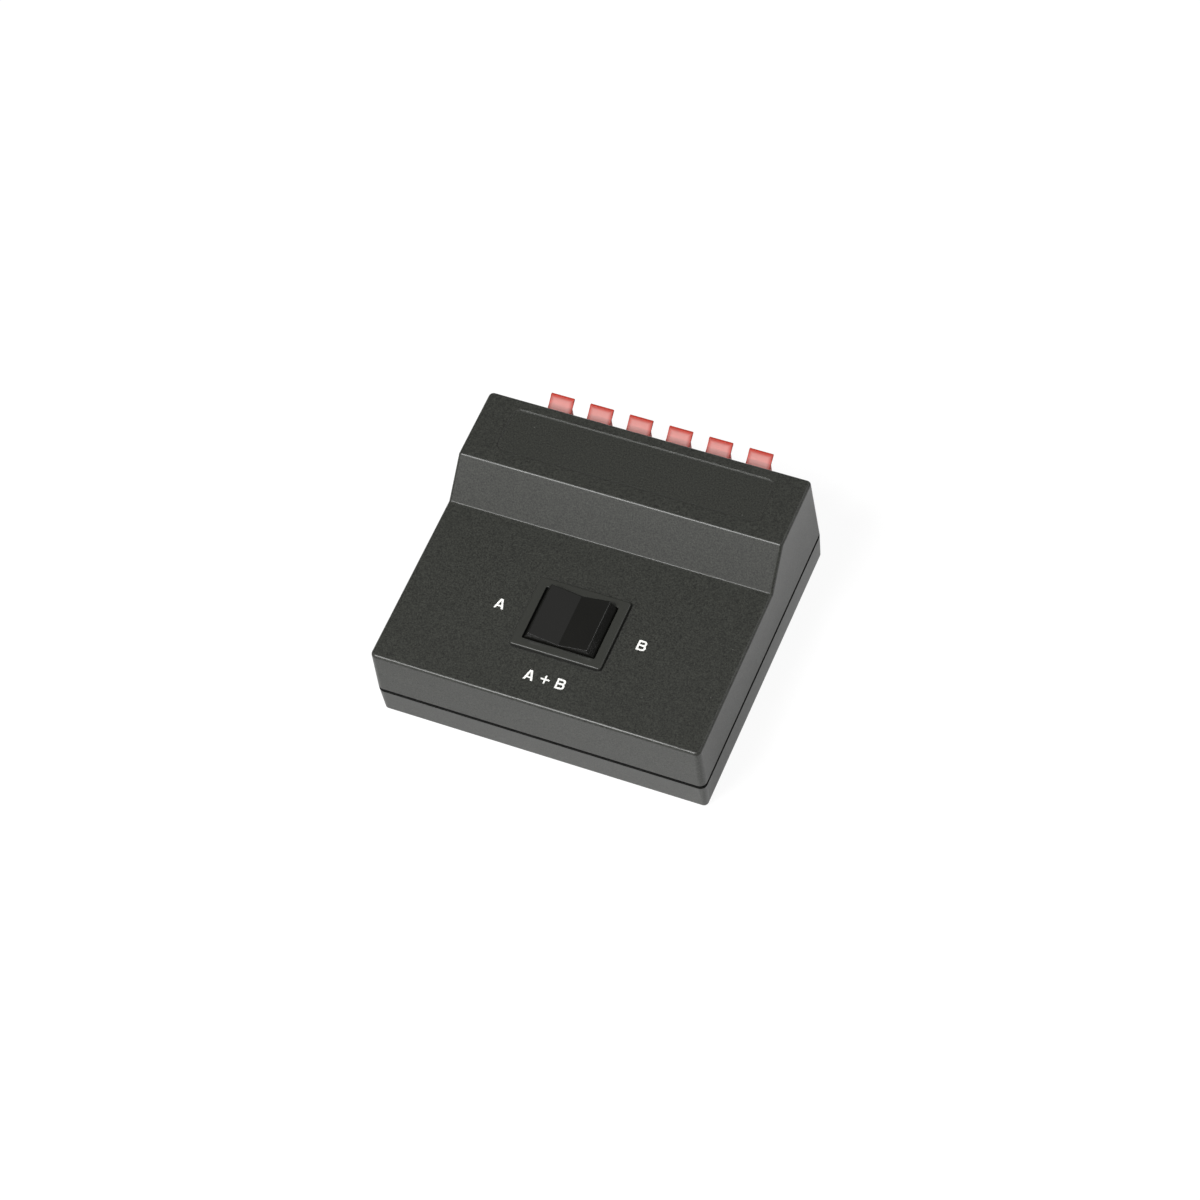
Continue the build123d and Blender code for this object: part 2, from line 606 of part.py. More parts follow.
def switch_base():
    """The plate that closes the switch from below and carries its six lugs."""
    gaps = 2 * SWITCH_BASE_CLEARANCE
    plug = RectangleRounded(WELL_WIDTH - gaps, WELL_DEPTH - gaps, WELL_CORNER)
    flange = RectangleRounded(SWITCH_BODY_WIDTH, SWITCH_BODY_DEPTH, WELL_CORNER)
    base = flat(plug, 0, SWITCH_Y, SWITCH_BASE_LOW_Z, SWITCH_BASE_TOP_Z)
    base += flat(flange, 0, SWITCH_Y, SWITCH_BASE_LOW_Z, SWITCH_BASE_LOW_Z + SWITCH_BASE_FLANGE)
    slot_x = LUG_THICKNESS / 2 + SLOT_CLEARANCE
    slot_y = LUG_WIDTH / 2 + SLOT_CLEARANCE
    for pole in (-1, 1):
        y = SWITCH_Y + pole * POLE_OFFSET
        for x in (-LUG_OFFSET, 0, LUG_OFFSET):
            base -= span(x - slot_x, x + slot_x, y - slot_y, y + slot_y, LUG_TIP_Z, DECK_Z)
    return base


def rocker_arc(side, from_z, to_z):
    """The rocker's end, an arc about the pivot, between two heights."""

    def at(z):
        return (side * (ROCKER_RADIUS**2 - (z - PIVOT_Z) ** 2) ** 0.5, 0, z)

    return ThreePointArc(at(from_z), at((from_z + to_z) / 2), at(to_z))


def rocker():
    """The V-topped rocker: a hollow cap with two pivots and a finger that drives the carriage."""
    edge_z = DECK_Z + ROCKER_EDGE_HEIGHT
    valley_z = DECK_Z + ROCKER_VALLEY_HEIGHT
    end_z = DECK_Z + ROCKER_END_HEIGHT
    skirt_z = PIVOT_Z - ROCKER_SKIRT_DROP
    left = rocker_arc(-1, skirt_z, end_z)
    right = rocker_arc(1, end_z, skirt_z)
    top = Polyline(
        left @ 1,
        (-ROCKER_EDGE_X, 0, edge_z),
        (0, 0, valley_z),
        (ROCKER_EDGE_X, 0, edge_z),
        right @ 0,
    )
    outline = make_face([left, top, right, Line(right @ 1, left @ 0)])
    cap = extrude(outline, amount=ROCKER_DEPTH / 2, dir=(0, 1, 0), both=True)
    upper = [e for e in cap.edges() if e.center().Z > end_z and not near(e.center().Z, valley_z)]
    cap = fillet(upper, ROCKER_ROUND)

    # The hollow follows the top at the wall's thickness and is open below.
    wall = ROCKER_WALL
    inner_x = ROCKER_END_X - wall
    crest_x, crest_z = ROCKER_EDGE_X - wall / 2, edge_z - wall - wall / 4
    hollow = [
        (-inner_x, skirt_z - wall),
        (-inner_x, end_z - wall),
        (-crest_x, crest_z),
        (0, valley_z - wall),
        (crest_x, crest_z),
        (inner_x, end_z - wall),
        (inner_x, skirt_z - wall),
    ]
    shell = cap - lengthwise(hollow, ROCKER_DEPTH - 2 * wall, 0)

    # A web under the valley ties the pivots together and carries the finger.
    web_low = PIVOT_Z - PIVOT_RADIUS
    half = FINGER_THICKNESS / 2
    web_y = ROCKER_DEPTH / 2 - wall / 2
    root_z = valley_z - wall
    shell += span(-half, half, -web_y, web_y, web_low, root_z + wall / 2)
    finger = [
        (-2 * half, root_z),
        (2 * half, root_z),
        (half, web_low),
        (half, TIP_Z),
        (-half, TIP_Z),
        (-half, web_low),
    ]
    shell += lengthwise(finger, FINGER_WIDTH, 0)
    shell += bar_along_y(0, -FINGER_WIDTH / 2, FINGER_WIDTH / 2, TIP_Z, FINGER_TIP_RADIUS)
    pivot_reach = ROCKER_DEPTH / 2 + PIVOT_REACH
    for side in (-1, 1):
        inner, outer = sorted((side * web_y, side * pivot_reach))
        shell += bar_along_y(0, inner, outer, PIVOT_Z, PIVOT_RADIUS)
    return Pos(0, SWITCH_Y, 0) * shell


def slide_carriage():
    """The block that the finger pushes sideways; it holds the contact bridges and has the notches."""
    near_y = -(WELL_DEPTH / 2 - CARRIAGE_SIDE_CLEARANCE)
    far_y = DETENT_FACE
    low, high = CARRIAGE_LOW_Z, CARRIAGE_LOW_Z + CARRIAGE_THICKNESS
    plan = RectangleRounded(2 * CARRIAGE_HALF_LENGTH, far_y - near_y, CARRIAGE_ROUND)
    carriage = flat(plan, 0, (near_y + far_y) / 2, low, high)
    fork_x = FINGER_TIP_RADIUS + FORK_CLEARANCE
    fork_y = FINGER_WIDTH / 2 + FORK_END_CLEARANCE
    carriage -= span(-fork_x, fork_x, -fork_y, fork_y, low - WALL, high + WALL)
    half = CARRIAGE_TRAVEL * DETENT_NOTCH_SHARE
    for step in (-1, 0, 1):
        x = step * CARRIAGE_TRAVEL
        notch = Polyline((x - half, far_y), (x + half, far_y), (x, far_y - DETENT_NOTCH), close=True)
        carriage -= flat(make_face(notch), 0, 0, low - WALL, high + WALL)
    for pole in (-1, 1):
        for side in (-1, 1):
            x, y = side * STAKE_OFFSET, pole * POLE_OFFSET
            carriage += column(x, y, low - BRIDGE_THICKNESS / 2, low + BRIDGE_THICKNESS, STAKE_RADIUS)
    return Pos(0, SWITCH_Y, 0) * carriage


def contact_bridge(pole):
    """One pole's bridge, staked under the carriage, with ends bevelled to ride on to the pads."""
    low, high = CARRIAGE_LOW_Z - BRIDGE_THICKNESS, CARRIAGE_LOW_Z
    end = BRIDGE_LENGTH / 2
    bevel = BRIDGE_THICKNESS / 2
    outline = [
        (-end, high),
        (end, high),
        (end, low + bevel),
        (end - bevel, low),
        (-end + bevel, low),
        (-end, low + bevel),
    ]
    y = pole * POLE_OFFSET
    bridge = lengthwise(outline, BRIDGE_WIDTH, y)
    for x in (-STAKE_OFFSET, STAKE_OFFSET):
        bridge -= column(x, y, low - bevel, high + bevel, STAKE_RADIUS + SLIDING_GAP)
    return Pos(0, SWITCH_Y, 0) * bridge


def detent_spring():
    """A leaf along the rear wall of the switch. Its nose rests in the carriage's middle notch."""
    z = TIP_Z
    wall_y = WELL_DEPTH / 2 - DETENT_LEAF / 2
    shoulder_y = DETENT_FACE + DETENT_SHOULDER_GAP + DETENT_LEAF / 2
    nose_y = DETENT_FACE - DETENT_NOTCH + DETENT_NOSE_GAP + DETENT_LEAF / 2
    foot_x = DETENT_SPAN - DETENT_FOOT
    points = [
        (-DETENT_SPAN, wall_y, z),
        (-foot_x, wall_y, z),
        (-DETENT_SHOULDER, shoulder_y, z),
        (0, nose_y, z),
        (DETENT_SHOULDER, shoulder_y, z),
        (foot_x, wall_y, z),
        (DETENT_SPAN, wall_y, z),
    ]
    radii = [2 * DETENT_LEAF, DETENT_LEAF, DETENT_LEAF, DETENT_LEAF, 2 * DETENT_LEAF]
    path = FilletPolyline(*points, radius=radii)
    start = Plane(origin=points[0], z_dir=(1, 0, 0), x_dir=(0, 1, 0))
    leaf = sweep(start * Rectangle(DETENT_LEAF, DETENT_LEAF_HEIGHT), path=path)
    return Pos(0, SWITCH_Y, 0) * leaf


def switch_lug(x, pole):
    """A contact pad on the switch's base with a solder blade going down through it."""
    y = SWITCH_Y + pole * POLE_OFFSET
    if x == 0:
        start, end = -COMMON_PAD_LENGTH / 2, COMMON_PAD_LENGTH / 2
    else:
        side = 1 if x > 0 else -1
        start, end = sorted((side * OUTER_PAD_START, side * (OUTER_PAD_START + OUTER_PAD_LENGTH)))
    pad = span(start, end, y - PAD_WIDTH / 2, y + PAD_WIDTH / 2, SWITCH_BASE_TOP_Z, PAD_TOP_Z)
    half = LUG_WIDTH / 2
    chamfered = LUG_TIP_CHAMFER
    blade = side_face([
        (y - half, SWITCH_BASE_TOP_Z),
        (y + half, SWITCH_BASE_TOP_Z),
        (y + half, LUG_TIP_Z + chamfered),
        (y + half - chamfered, LUG_TIP_Z),
        (y - half + chamfered, LUG_TIP_Z),
        (y - half, LUG_TIP_Z + chamfered),
    ])
    lug = pad + across(blade, LUG_THICKNESS, x)
    hole_z = LUG_TIP_Z + JOINT_HEIGHT
    return lug - bar_along_x(x - LUG_THICKNESS, x + LUG_THICKNESS, y, hole_z, LUG_HOLE_RADIUS)


def switch_lugs(x):
    return Compound(children=[switch_lug(x, pole) for pole in (-1, 1)])


# ---------------------------------------------------------------- terminal block
def terminal_block():
    """The moulding behind the rear window, with a lever slot, a wire pocket and a spring chamber
    in each of its cells."""
    mid_z = BLOCK_MID_Z
    half = BLOCK_HALF_WIDTH
    block = span(-half, half, BLOCK_FRONT_Y, FLANGE_Y, BLOCK_LOW_Z, BLOCK_TOP_Z)
    flange_height = BLOCK_TOP_Z - BLOCK_LOW_Z + FLANGE_TOP
    flange = RectangleRounded(2 * (half + FLANGE_SIDE), flange_height, FLANGE_CORNER)
    block += upright(flange, 0, mid_z + FLANGE_TOP / 2, SEAT_Y, FLANGE_Y)
    beyond = FLANGE_Y + WALL
    bore_half = LEVER_WIDTH / 2 + TRUNNION_REACH + TRUNNION_END_CLEARANCE
    bore = TRUNNION_RADIUS + RUNNING_CLEARANCE
    hole_front, hole_back = CHAMBER_END_Y - WALL, POCKET_END_Y + WALL / 2
    for floor in ROW_FLOORS:
        shelf = floor + POCKET_HEIGHT
        roof = floor + CELL_HEIGHT
        chamber = [
            (BLOCK_FRONT_Y - WALL, floor),
            (CHAMBER_END_Y, floor),
            (CHAMBER_END_Y, shelf),
            (POCKET_END_Y, shelf),
            (POCKET_END_Y, floor),
            (beyond, floor),
            (beyond, roof),
            (BLOCK_FRONT_Y - WALL, roof),
        ]
        wire_hole = SlotOverall(WIRE_HOLE_LENGTH, WIRE_HOLE_HEIGHT)
        for x in COLUMN_XS:
            block -= across(side_face(chamber), CELL_WIDTH, x)
            block -= upright(wire_hole, x, floor + WIRE_HOLE_RISE, hole_front, hole_back)
            block -= bar_along_x(x - bore_half, x + bore_half, HUB_Y, floor + HUB_RISE, bore)
    for x in BLOCK_SCREW_XS:
        block -= bar_along_y(x, SEAT_Y - WALL, beyond, mid_z, BLOCK_SCREW_RADIUS + SHANK_CLEARANCE)
    for x in PLATE_SCREW_XS:
        end = PLATE_FRONT_Y + BLOCK_SCREW_LENGTH + PILOT_CLEARANCE
        block -= bar_along_y(x, BLOCK_FRONT_Y - WALL, end, mid_z, BLOCK_SCREW_RADIUS + PILOT_CLEARANCE)
    return block


def terminal_back_plate():
    """The board that closes the spring chambers from inside. The solder tails come through it."""
    sketch = RectangleRounded(2 * BLOCK_HALF_WIDTH, BLOCK_TOP_Z - BLOCK_LOW_Z, WELL_CORNER)
    plate = upright(sketch, 0, BLOCK_MID_Z, PLATE_FRONT_Y, BLOCK_FRONT_Y)
    half = SPRING_WIDTH / 2 + SLOT_CLEARANCE
    for floor in ROW_FLOORS:
        for x in COLUMN_XS:
            plate -= span(
                x - half, x + half, PLATE_FRONT_Y - WALL, BLOCK_FRONT_Y + WALL,
                floor, floor + SPRING_THICKNESS + SLOT_CLEARANCE,
            )
    hole = BLOCK_SCREW_RADIUS + SHANK_CLEARANCE
    for x in PLATE_SCREW_XS:
        plate -= bar_along_y(x, PLATE_FRONT_Y - WALL, SEAT_Y, BLOCK_MID_Z, hole)
    return plate


def block_screws(xs, head_y, turn):
    """Small pan-head screws along Y, with their heads seated on the plane head_y."""
    screw = pan_screw(
        BLOCK_SCREW_RADIUS, BLOCK_SCREW_LENGTH, BLOCK_SCREW_HEAD_RADIUS, BLOCK_SCREW_HEAD_HEIGHT
    )
    return Compound(children=[Pos(x, head_y, BLOCK_MID_Z) * Rot(turn, 0, 0) * screw for x in xs])


def clamp_lever(x, floor):
    """A clamp's lever: an arm on two trunnions, ending in a thumb tab that slopes up and back to
    an overhanging lip."""
    arm_low = floor + ARM_RISE
    arm_top = arm_low + ARM_THICKNESS
    end_y = SEAT_Y + ARM_REACH
    tip_y, tip_z = SEAT_Y + TAB_REACH, arm_top + TAB_RISE
    crest_y = tip_y - TAB_LAND
    slope = radians(TAB_SLOPE)
    face_z = tip_z - (crest_y - end_y) * tan(slope)
    neck = (0, crest_y - TAB_RISE / tan(slope), arm_top)
    knee = (0, end_y, face_z - TAB_THICKNESS / cos(slope))
    crest = (0, crest_y, tip_z)
    scoop_y = (neck[1] + crest_y) / 2 + TAB_BOW_DEPTH * sin(slope)
    scoop_z = (arm_top + tip_z) / 2 - TAB_BOW_DEPTH * cos(slope)

    hub_low, hub_top = (0, HUB_Y, arm_low), (0, HUB_Y, arm_top)
    hub_z = floor + HUB_RISE
    outline = [
        Polyline(
            hub_low,
            (0, end_y, arm_low),
            knee,
            (0, tip_y, tip_z - TAB_TIP_HEIGHT),
            (0, tip_y, tip_z),
            crest,
        ),
        ThreePointArc(crest, (0, scoop_y, scoop_z), neck),
        Line(neck, hub_top),
        ThreePointArc(hub_top, (0, HUB_Y - HUB_RADIUS, hub_z), hub_low),
    ]
    lever = across(make_face(outline), LEVER_WIDTH, x)

    # The tab's edges and the arm's end corners are rounded; the line between arm and tab is not.
    rounded = []
    for edge in lever.edges():
        middle = edge.center()
        on_tab = middle.Y > neck[1] + TAB_EDGE_ROUND and middle.Z > arm_low + TAB_EDGE_ROUND
        if on_tab and not near(middle.Z, knee[2]):
            rounded.append(edge)
    lever = fillet(rounded, TAB_EDGE_ROUND)
    reach = LEVER_WIDTH / 2 + TRUNNION_REACH
    return lever + bar_along_x(x - reach, x + reach, HUB_Y, hub_z, TRUNNION_RADIUS)


def clamp_spring(x, floor):
    """A bronze strip: solder tail, floor leg, upright with a wire window, and a nose that bears
    up against the lever."""
    centre_z = floor + SPRING_THICKNESS / 2
    nose_y = HUB_Y + SPRING_NOSE_OFFSET
    nose_z = floor + ARM_RISE - SPRING_NOSE_GAP - SPRING_THICKNESS / 2
    points = [
        (x, PLATE_FRONT_Y - SPRING_TAIL, centre_z),
        (x, nose_y - SPRING_SETBACK, centre_z),
        (x, nose_y, nose_z),
        (x, nose_y - SPRING_NOSE_LENGTH, nose_z),
    ]
    path = FilletPolyline(*points, radius=[SPRING_BEND, SPRING_NOSE_BEND])
    start = Plane(origin=points[0], z_dir=(0, 1, 0), x_dir=(1, 0, 0))
    strip = sweep(start * Rectangle(SPRING_WIDTH, SPRING_THICKNESS), path=path)
    window = SlotOverall(SPRING_WINDOW_WIDTH, SPRING_WINDOW_HEIGHT)
    window_z = floor + WIRE_HOLE_RISE
    return strip - upright(window, x, window_z, nose_y - SPRING_BEND, nose_y + SPRING_BEND)


# ---------------------------------------------------------------- wiring
def wire(name, points):
    """A round insulated wire through points, each corner as wide as its two runs allow."""
    radii = []
    for before, corner, after in zip(points, points[1:], points[2:]):
        come = Vector(*corner) - Vector(*before)
        leave = Vector(*after) - Vector(*corner)
        turn = radians(come.get_angle(leave))
        radii.append(BEND_SHARE * min(come.length, leave.length) / tan(turn / 2))
    print(name, "corner radii", [round(radius, 1) for radius in radii])
    path = FilletPolyline(*points, radius=radii)
    direction = Vector(*points[1]) - Vector(*points[0])
    section = Plane(origin=points[0], z_dir=direction) * Circle(WIRE_RADIUS)
    return sweep(section, path=path)


def tail_end(x, floor, shift=0.0):
    """The end of a clamp's solder tail, in the middle of its edge or shift along it."""
    return (x + shift, PLATE_FRONT_Y - SPRING_TAIL, floor + SPRING_THICKNESS / 2)


def lug_edge(lug_x, pole):
    """The outward edge of a switch lug, at the height where its wire is soldered."""
    return (lug_x, SWITCH_Y + pole * (POLE_OFFSET + LUG_WIDTH / 2), LUG_TIP_Z + JOINT_HEIGHT)


# The wires of the upper row, in the order of its columns: the bends that each takes between the
# straight leads at its two ends. A left wire goes to the rear pole, a right one to the front pole.
SIGNAL_BENDS = {
    "wire_a_left": [(-31.2, 9.6, 21.2), (-20.6, 2.6, 16.0)],
    "wire_a_right": [
        (-21.4, 9.8, 18.2), (-22.9, 0.6, 11.4), (-24.1, -11.0, 8.6), (-22.6, -22.0, 8.3),
        (-20.8, -31.0, 8.9), (-19.6, -38.0, 10.0), (-16.0, -42.2, 11.3), (-10.7, -42.4, 12.7),
    ],
    "wire_amp_left": [(-5.2, 9.8, 20.8), (-1.9, 1.4, 15.6)],
    "wire_amp_right": [
        (8.8, 10.2, 18.0), (12.7, 0.8, 11.0), (15.8, -11.6, 8.0), (16.0, -22.4, 7.6),
        (15.2, -31.0, 7.6), (13.6, -37.8, 8.0), (9.6, -42.6, 8.8), (3.6, -43.2, 10.6),
    ],
    "wire_b_left": [(18.8, 9.4, 21.0), (13.2, 1.6, 15.8)],
    "wire_b_right": [
        (31.6, 9.2, 20.4), (27.0, -2.4, 15.2), (24.2, -16.0, 12.8), (23.4, -27.0, 12.6),
        (22.0, -37.0, 12.6), (17.8, -41.8, 12.8), (11.4, -42.2, 13.3),
    ],
}
LUG_XS = {"a": -LUG_OFFSET, "amp": 0, "b": LUG_OFFSET}


def signal_wire(name, column_x):
    _, pair, channel = name.split("_")
    pole = 1 if channel == "left" else -1
    start, end = tail_end(column_x, ROW_FLOORS[1]), lug_edge(LUG_XS[pair], pole)
    leave = (start[0], start[1] - WIRE_LEAD, start[2])
    arrive = (end[0], end[1] + pole * WIRE_LEAD, end[2])
    return wire(name, [start, leave, *SIGNAL_BENDS[name], arrive, end])


def jumper(name, from_x, to_x, rise):
    """A loop between two tails of the lower row: straight leads, and a bow that rises or dips to
    stay clear of the tail between them."""
    start = tail_end(from_x, ROW_FLOORS[0], JUMPER_SPREAD)
    end = tail_end(to_x, ROW_FLOORS[0], -JUMPER_SPREAD)
    y, z = start[1], start[2]
    loop = [
        (start[0], y - JUMPER_LEAD, z),
        (start[0] + JUMPER_SHOULDER, y - 2 * JUMPER_LEAD, z + rise),
        ((start[0] + end[0]) / 2, y - 2 * JUMPER_LEAD - JUMPER_BOW, z + 2 * rise),
        (end[0] - JUMPER_SHOULDER, y - 2 * JUMPER_LEAD, z + rise),
        (end[0], y - JUMPER_LEAD, z),
    ]
    return wire(name, [start, *loop, end])


def jumpers():
    """Each channel's two jumpers: from pair A's black clamp to the amplifier's, and on to pair B's."""
    for channel, columns, rise in (
        ("left", COLUMN_XS[0::2], -JUMPER_RISE),
        ("right", COLUMN_XS[1::2], JUMPER_RISE),
    ):
        for letter, from_x, to_x in zip("ab", columns, columns[1:]):
            name = f"jumper_{channel}_{letter}"
            yield name, jumper(name, from_x, to_x, rise)


# ---------------------------------------------------------------- the whole switch, one file per piece
def pieces():
    yield "top_cover", top_cover()
    yield "base_tray", base_tray()
    yield "cover_screws", cover_screws()
    yield "rubber_feet", rubber_feet()
    yield "switch_body", switch_body()
    yield "switch_base", switch_base()
    yield "rocker", rocker()
    yield "slide_carriage", slide_carriage()
    yield "contact_bridge_front", contact_bridge(-1)
    yield "contact_bridge_rear", contact_bridge(1)
    yield "detent_spring", detent_spring()
    yield "switch_lugs_a", switch_lugs(-LUG_OFFSET)
    yield "switch_lugs_common", switch_lugs(0)
    yield "switch_lugs_b", switch_lugs(LUG_OFFSET)
    yield "terminal_block", terminal_block()
    yield "terminal_back_plate", terminal_back_plate()
    yield "terminal_block_screws", block_screws(BLOCK_SCREW_XS, FLANGE_Y, 90)
    yield "back_plate_screws", block_screws(PLATE_SCREW_XS, PLATE_FRONT_Y, -90)
    for colour, floor in zip(("black", "red"), ROW_FLOORS):
        for number, x in enumerate(COLUMN_XS, start=1):
            yield f"lever_{colour}_{number}", clamp_lever(x, floor)
            yield f"clamp_spring_{colour}_{number}", clamp_spring(x, floor)
    for name, x in zip(SIGNAL_BENDS, COLUMN_XS):
        yield name, signal_wire(name, x)
    yield from jumpers()


os.makedirs("parts", exist_ok=True)
for node, shape in pieces():
    export_step(shape, f"parts/{node}.step")
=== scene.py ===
# Looks of a speaker selector box: a low dark grey housing with a rocker switch on its deck and two
# rows of sprung wire clamps along its back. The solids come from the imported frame. This script
# gives each of them its finish, and adds the printed marks, the raised signs, the solder on the
# joints, the floor, the lamps and the camera. Lengths are in metres, angles in degrees.

import logging
import math
from abc import ABC, abstractmethod
from dataclasses import dataclass, field
from enum import Enum
from typing import ClassVar

import bpy
import numpy as np
from mathutils import Matrix, Vector
from mathutils.geometry import tessellate_polygon

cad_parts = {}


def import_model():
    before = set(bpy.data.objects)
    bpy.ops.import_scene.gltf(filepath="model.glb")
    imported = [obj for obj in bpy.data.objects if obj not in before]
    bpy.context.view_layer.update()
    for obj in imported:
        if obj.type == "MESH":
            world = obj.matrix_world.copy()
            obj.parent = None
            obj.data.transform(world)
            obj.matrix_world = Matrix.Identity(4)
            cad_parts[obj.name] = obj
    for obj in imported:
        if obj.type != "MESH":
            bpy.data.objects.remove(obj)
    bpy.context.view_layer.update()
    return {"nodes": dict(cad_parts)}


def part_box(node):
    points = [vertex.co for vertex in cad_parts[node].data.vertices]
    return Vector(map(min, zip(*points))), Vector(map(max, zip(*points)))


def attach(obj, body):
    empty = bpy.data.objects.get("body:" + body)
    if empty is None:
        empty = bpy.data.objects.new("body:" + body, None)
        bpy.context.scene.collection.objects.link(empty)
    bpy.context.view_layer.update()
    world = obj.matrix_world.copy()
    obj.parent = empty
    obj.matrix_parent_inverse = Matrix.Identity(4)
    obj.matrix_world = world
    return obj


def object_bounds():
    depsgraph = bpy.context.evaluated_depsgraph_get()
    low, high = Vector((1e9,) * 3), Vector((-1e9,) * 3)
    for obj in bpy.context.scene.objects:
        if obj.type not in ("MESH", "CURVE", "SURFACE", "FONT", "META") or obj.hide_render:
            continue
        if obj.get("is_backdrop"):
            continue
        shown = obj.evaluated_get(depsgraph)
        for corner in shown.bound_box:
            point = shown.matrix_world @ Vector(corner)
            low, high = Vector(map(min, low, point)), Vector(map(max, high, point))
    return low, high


Colour = tuple[float, float, float, float]
Place = tuple[float, float, float]
Faces = list[tuple[int, ...]]

log = logging.getLogger("speaker_selector")

MM = 0.001
HOUSING = "housing"
COLUMNS = 6
WHITE: Colour = (1.0, 1.0, 1.0, 1.0)


# ---------------------------------------------------------------- colours and node helpers
def paint(red: float, green: float, blue: float) -> Colour:
    """Turns a colour as a screen shows it into the linear one that shaders take.

    Formula: c below 0.04045 is divided by 12.92, and above it is ((c + 0.055) / 1.055) ** 2.4.

    Args:
        red: Red from 0 to 255.
        green: Green from 0 to 255.
        blue: Blue from 0 to 255.

    Returns:
        The linear colour, with an alpha of 1.
    """
    screen = np.array([red, green, blue]) / 255.0
    linear = np.where(screen <= 0.04045, screen / 12.92, ((screen + 0.055) / 1.055) ** 2.4)
    return (float(linear[0]), float(linear[1]), float(linear[2]), 1.0)


class Flow:
    """What a socket puts out, for use in formulas. Each step of a formula adds one node."""

    def __init__(self, sheet: "Sheet", socket: bpy.types.NodeSocket) -> None:
        """Keeps the socket, and the sheet that the formula's nodes go to."""
        self.sheet = sheet
        self.socket = socket

    def __add__(self, other: object) -> "Flow":
        """Adds the other."""
        return self.sheet.math("ADD", self, other)

    def __sub__(self, other: object) -> "Flow":
        """Takes the other away."""
        return self.sheet.math("SUBTRACT", self, other)

    def __rsub__(self, number: float) -> "Flow":
        """Takes this away from a number."""
        return self.sheet.math("SUBTRACT", number, self)

    def __mul__(self, other: object) -> "Flow":
        """Multiplies by the other."""
        return self.sheet.math("MULTIPLY", self, other)

    def __truediv__(self, other: object) -> "Flow":
        """Divides by the other."""
        return self.sheet.math("DIVIDE", self, other)

    def __rtruediv__(self, number: float) -> "Flow":
        """Divides a number by this."""
        return self.sheet.math("DIVIDE", number, self)

    def __abs__(self) -> "Flow":
        """Drops the sign."""
        return self.sheet.math("ABSOLUTE", self)

    def ramp(self, low: object, high: object) -> "Flow":
        """Stretches this so that low becomes 0 and high becomes 1, smoothly and clamped."""
        values = {"Value": self, "From Min": low, "From Max": high}
        return self.sheet.value("ShaderNodeMapRange", values, interpolation_type="SMOOTHSTEP")


class Blend(Enum):
    """How one colour is laid over another."""

    MIX = "MIX"
    MULTIPLY = "MULTIPLY"


class Sheet:
    """A node tree being written: it adds nodes with their settings and joins their sockets."""

    def __init__(self, tree: bpy.types.NodeTree) -> None:
        """Clears the tree and keeps it."""
        self.tree = tree
        tree.nodes.clear()

    def feed(self, node: bpy.types.Node, values: dict[str | int, object]) -> None:
        """Joins flows to a node's inputs, or sets them to plain values, by name or number."""
        for name, value in values.items():
            if isinstance(value, Flow):
                self.tree.links.new(value.socket, node.inputs[name])
            else:
                node.inputs[name].default_value = value

    def add(
        self, kind: str, values: dict[str | int, object] | None = None, **settings: object
    ) -> bpy.types.Node:
        """Adds a node.

        Args:
            kind: The node's type name.
            values: What its inputs are fed.
            **settings: Properties of the node itself.

        Returns:
            The new node.
        """
        node = self.tree.nodes.new(kind)
        for name, value in settings.items():
            setattr(node, name, value)
        self.feed(node, values or {})
        return node

    def value(
        self,
        kind: str,
        values: dict[str | int, object] | None = None,
        output: str | int = 0,
        **settings: object,
    ) -> Flow:
        """Adds a node and returns what the output of that name or number puts out."""
        return Flow(self, self.add(kind, values, **settings).outputs[output])

    def math(self, operation: str, *values: object) -> Flow:
        """Adds a Math node on plain values or flows."""
        return self.value("ShaderNodeMath", dict(enumerate(values)), operation=operation)

    def vector(self, operation: str, *values: Flow, output: str = "Vector") -> Flow:
        """Adds a Vector Math node."""
        return self.value("ShaderNodeVectorMath", dict(enumerate(values)), output, operation=operation)

    def noise(self, where: Flow, scale: object, detail: float) -> Flow:
        """Adds a noise with the given number of waves to the metre."""
        return self.value("ShaderNodeTexNoise", {"Vector": where, "Scale": scale, "Detail": detail})

    def split(self, vector: Flow) -> list[Flow]:
        """Takes a vector apart into x, y and z."""
        return [Flow(self, part) for part in self.add("ShaderNodeSeparateXYZ", {0: vector}).outputs]

    def facing(self) -> Flow:
        """Gives the surface's normal."""
        return self.value("ShaderNodeNewGeometry", output="Normal")

    def grey(self, level: Flow) -> Flow:
        """Makes a grey of the given level."""
        return self.value("ShaderNodeCombineColor", {0: level, 1: level, 2: level})

    def mix(self, factor: object, under: object, over: object, mode: Blend = Blend.MIX) -> Flow:
        """Lays one colour over another.

        Args:
            factor: How much of the upper colour shows, from 0 to 1.
            under: The lower colour.
            over: The upper colour.
            mode: How they combine.

        Returns:
            The mixed colour.
        """
        settings = {"data_type": "RGBA", "blend_type": mode.value, "clamp_factor": True}
        return self.value("ShaderNodeMix", {0: factor, 6: under, 7: over}, 2, **settings)


# ---------------------------------------------------------------- effects that several finishes share
@dataclass(frozen=True)
class Port:
    """One named input or output of a node group."""

    name: str
    kind: str = "NodeSocketFloat"
    default: object = None


VECTOR_IN = Port("Vector", "NodeSocketVector")
MASK = Port("Mask")


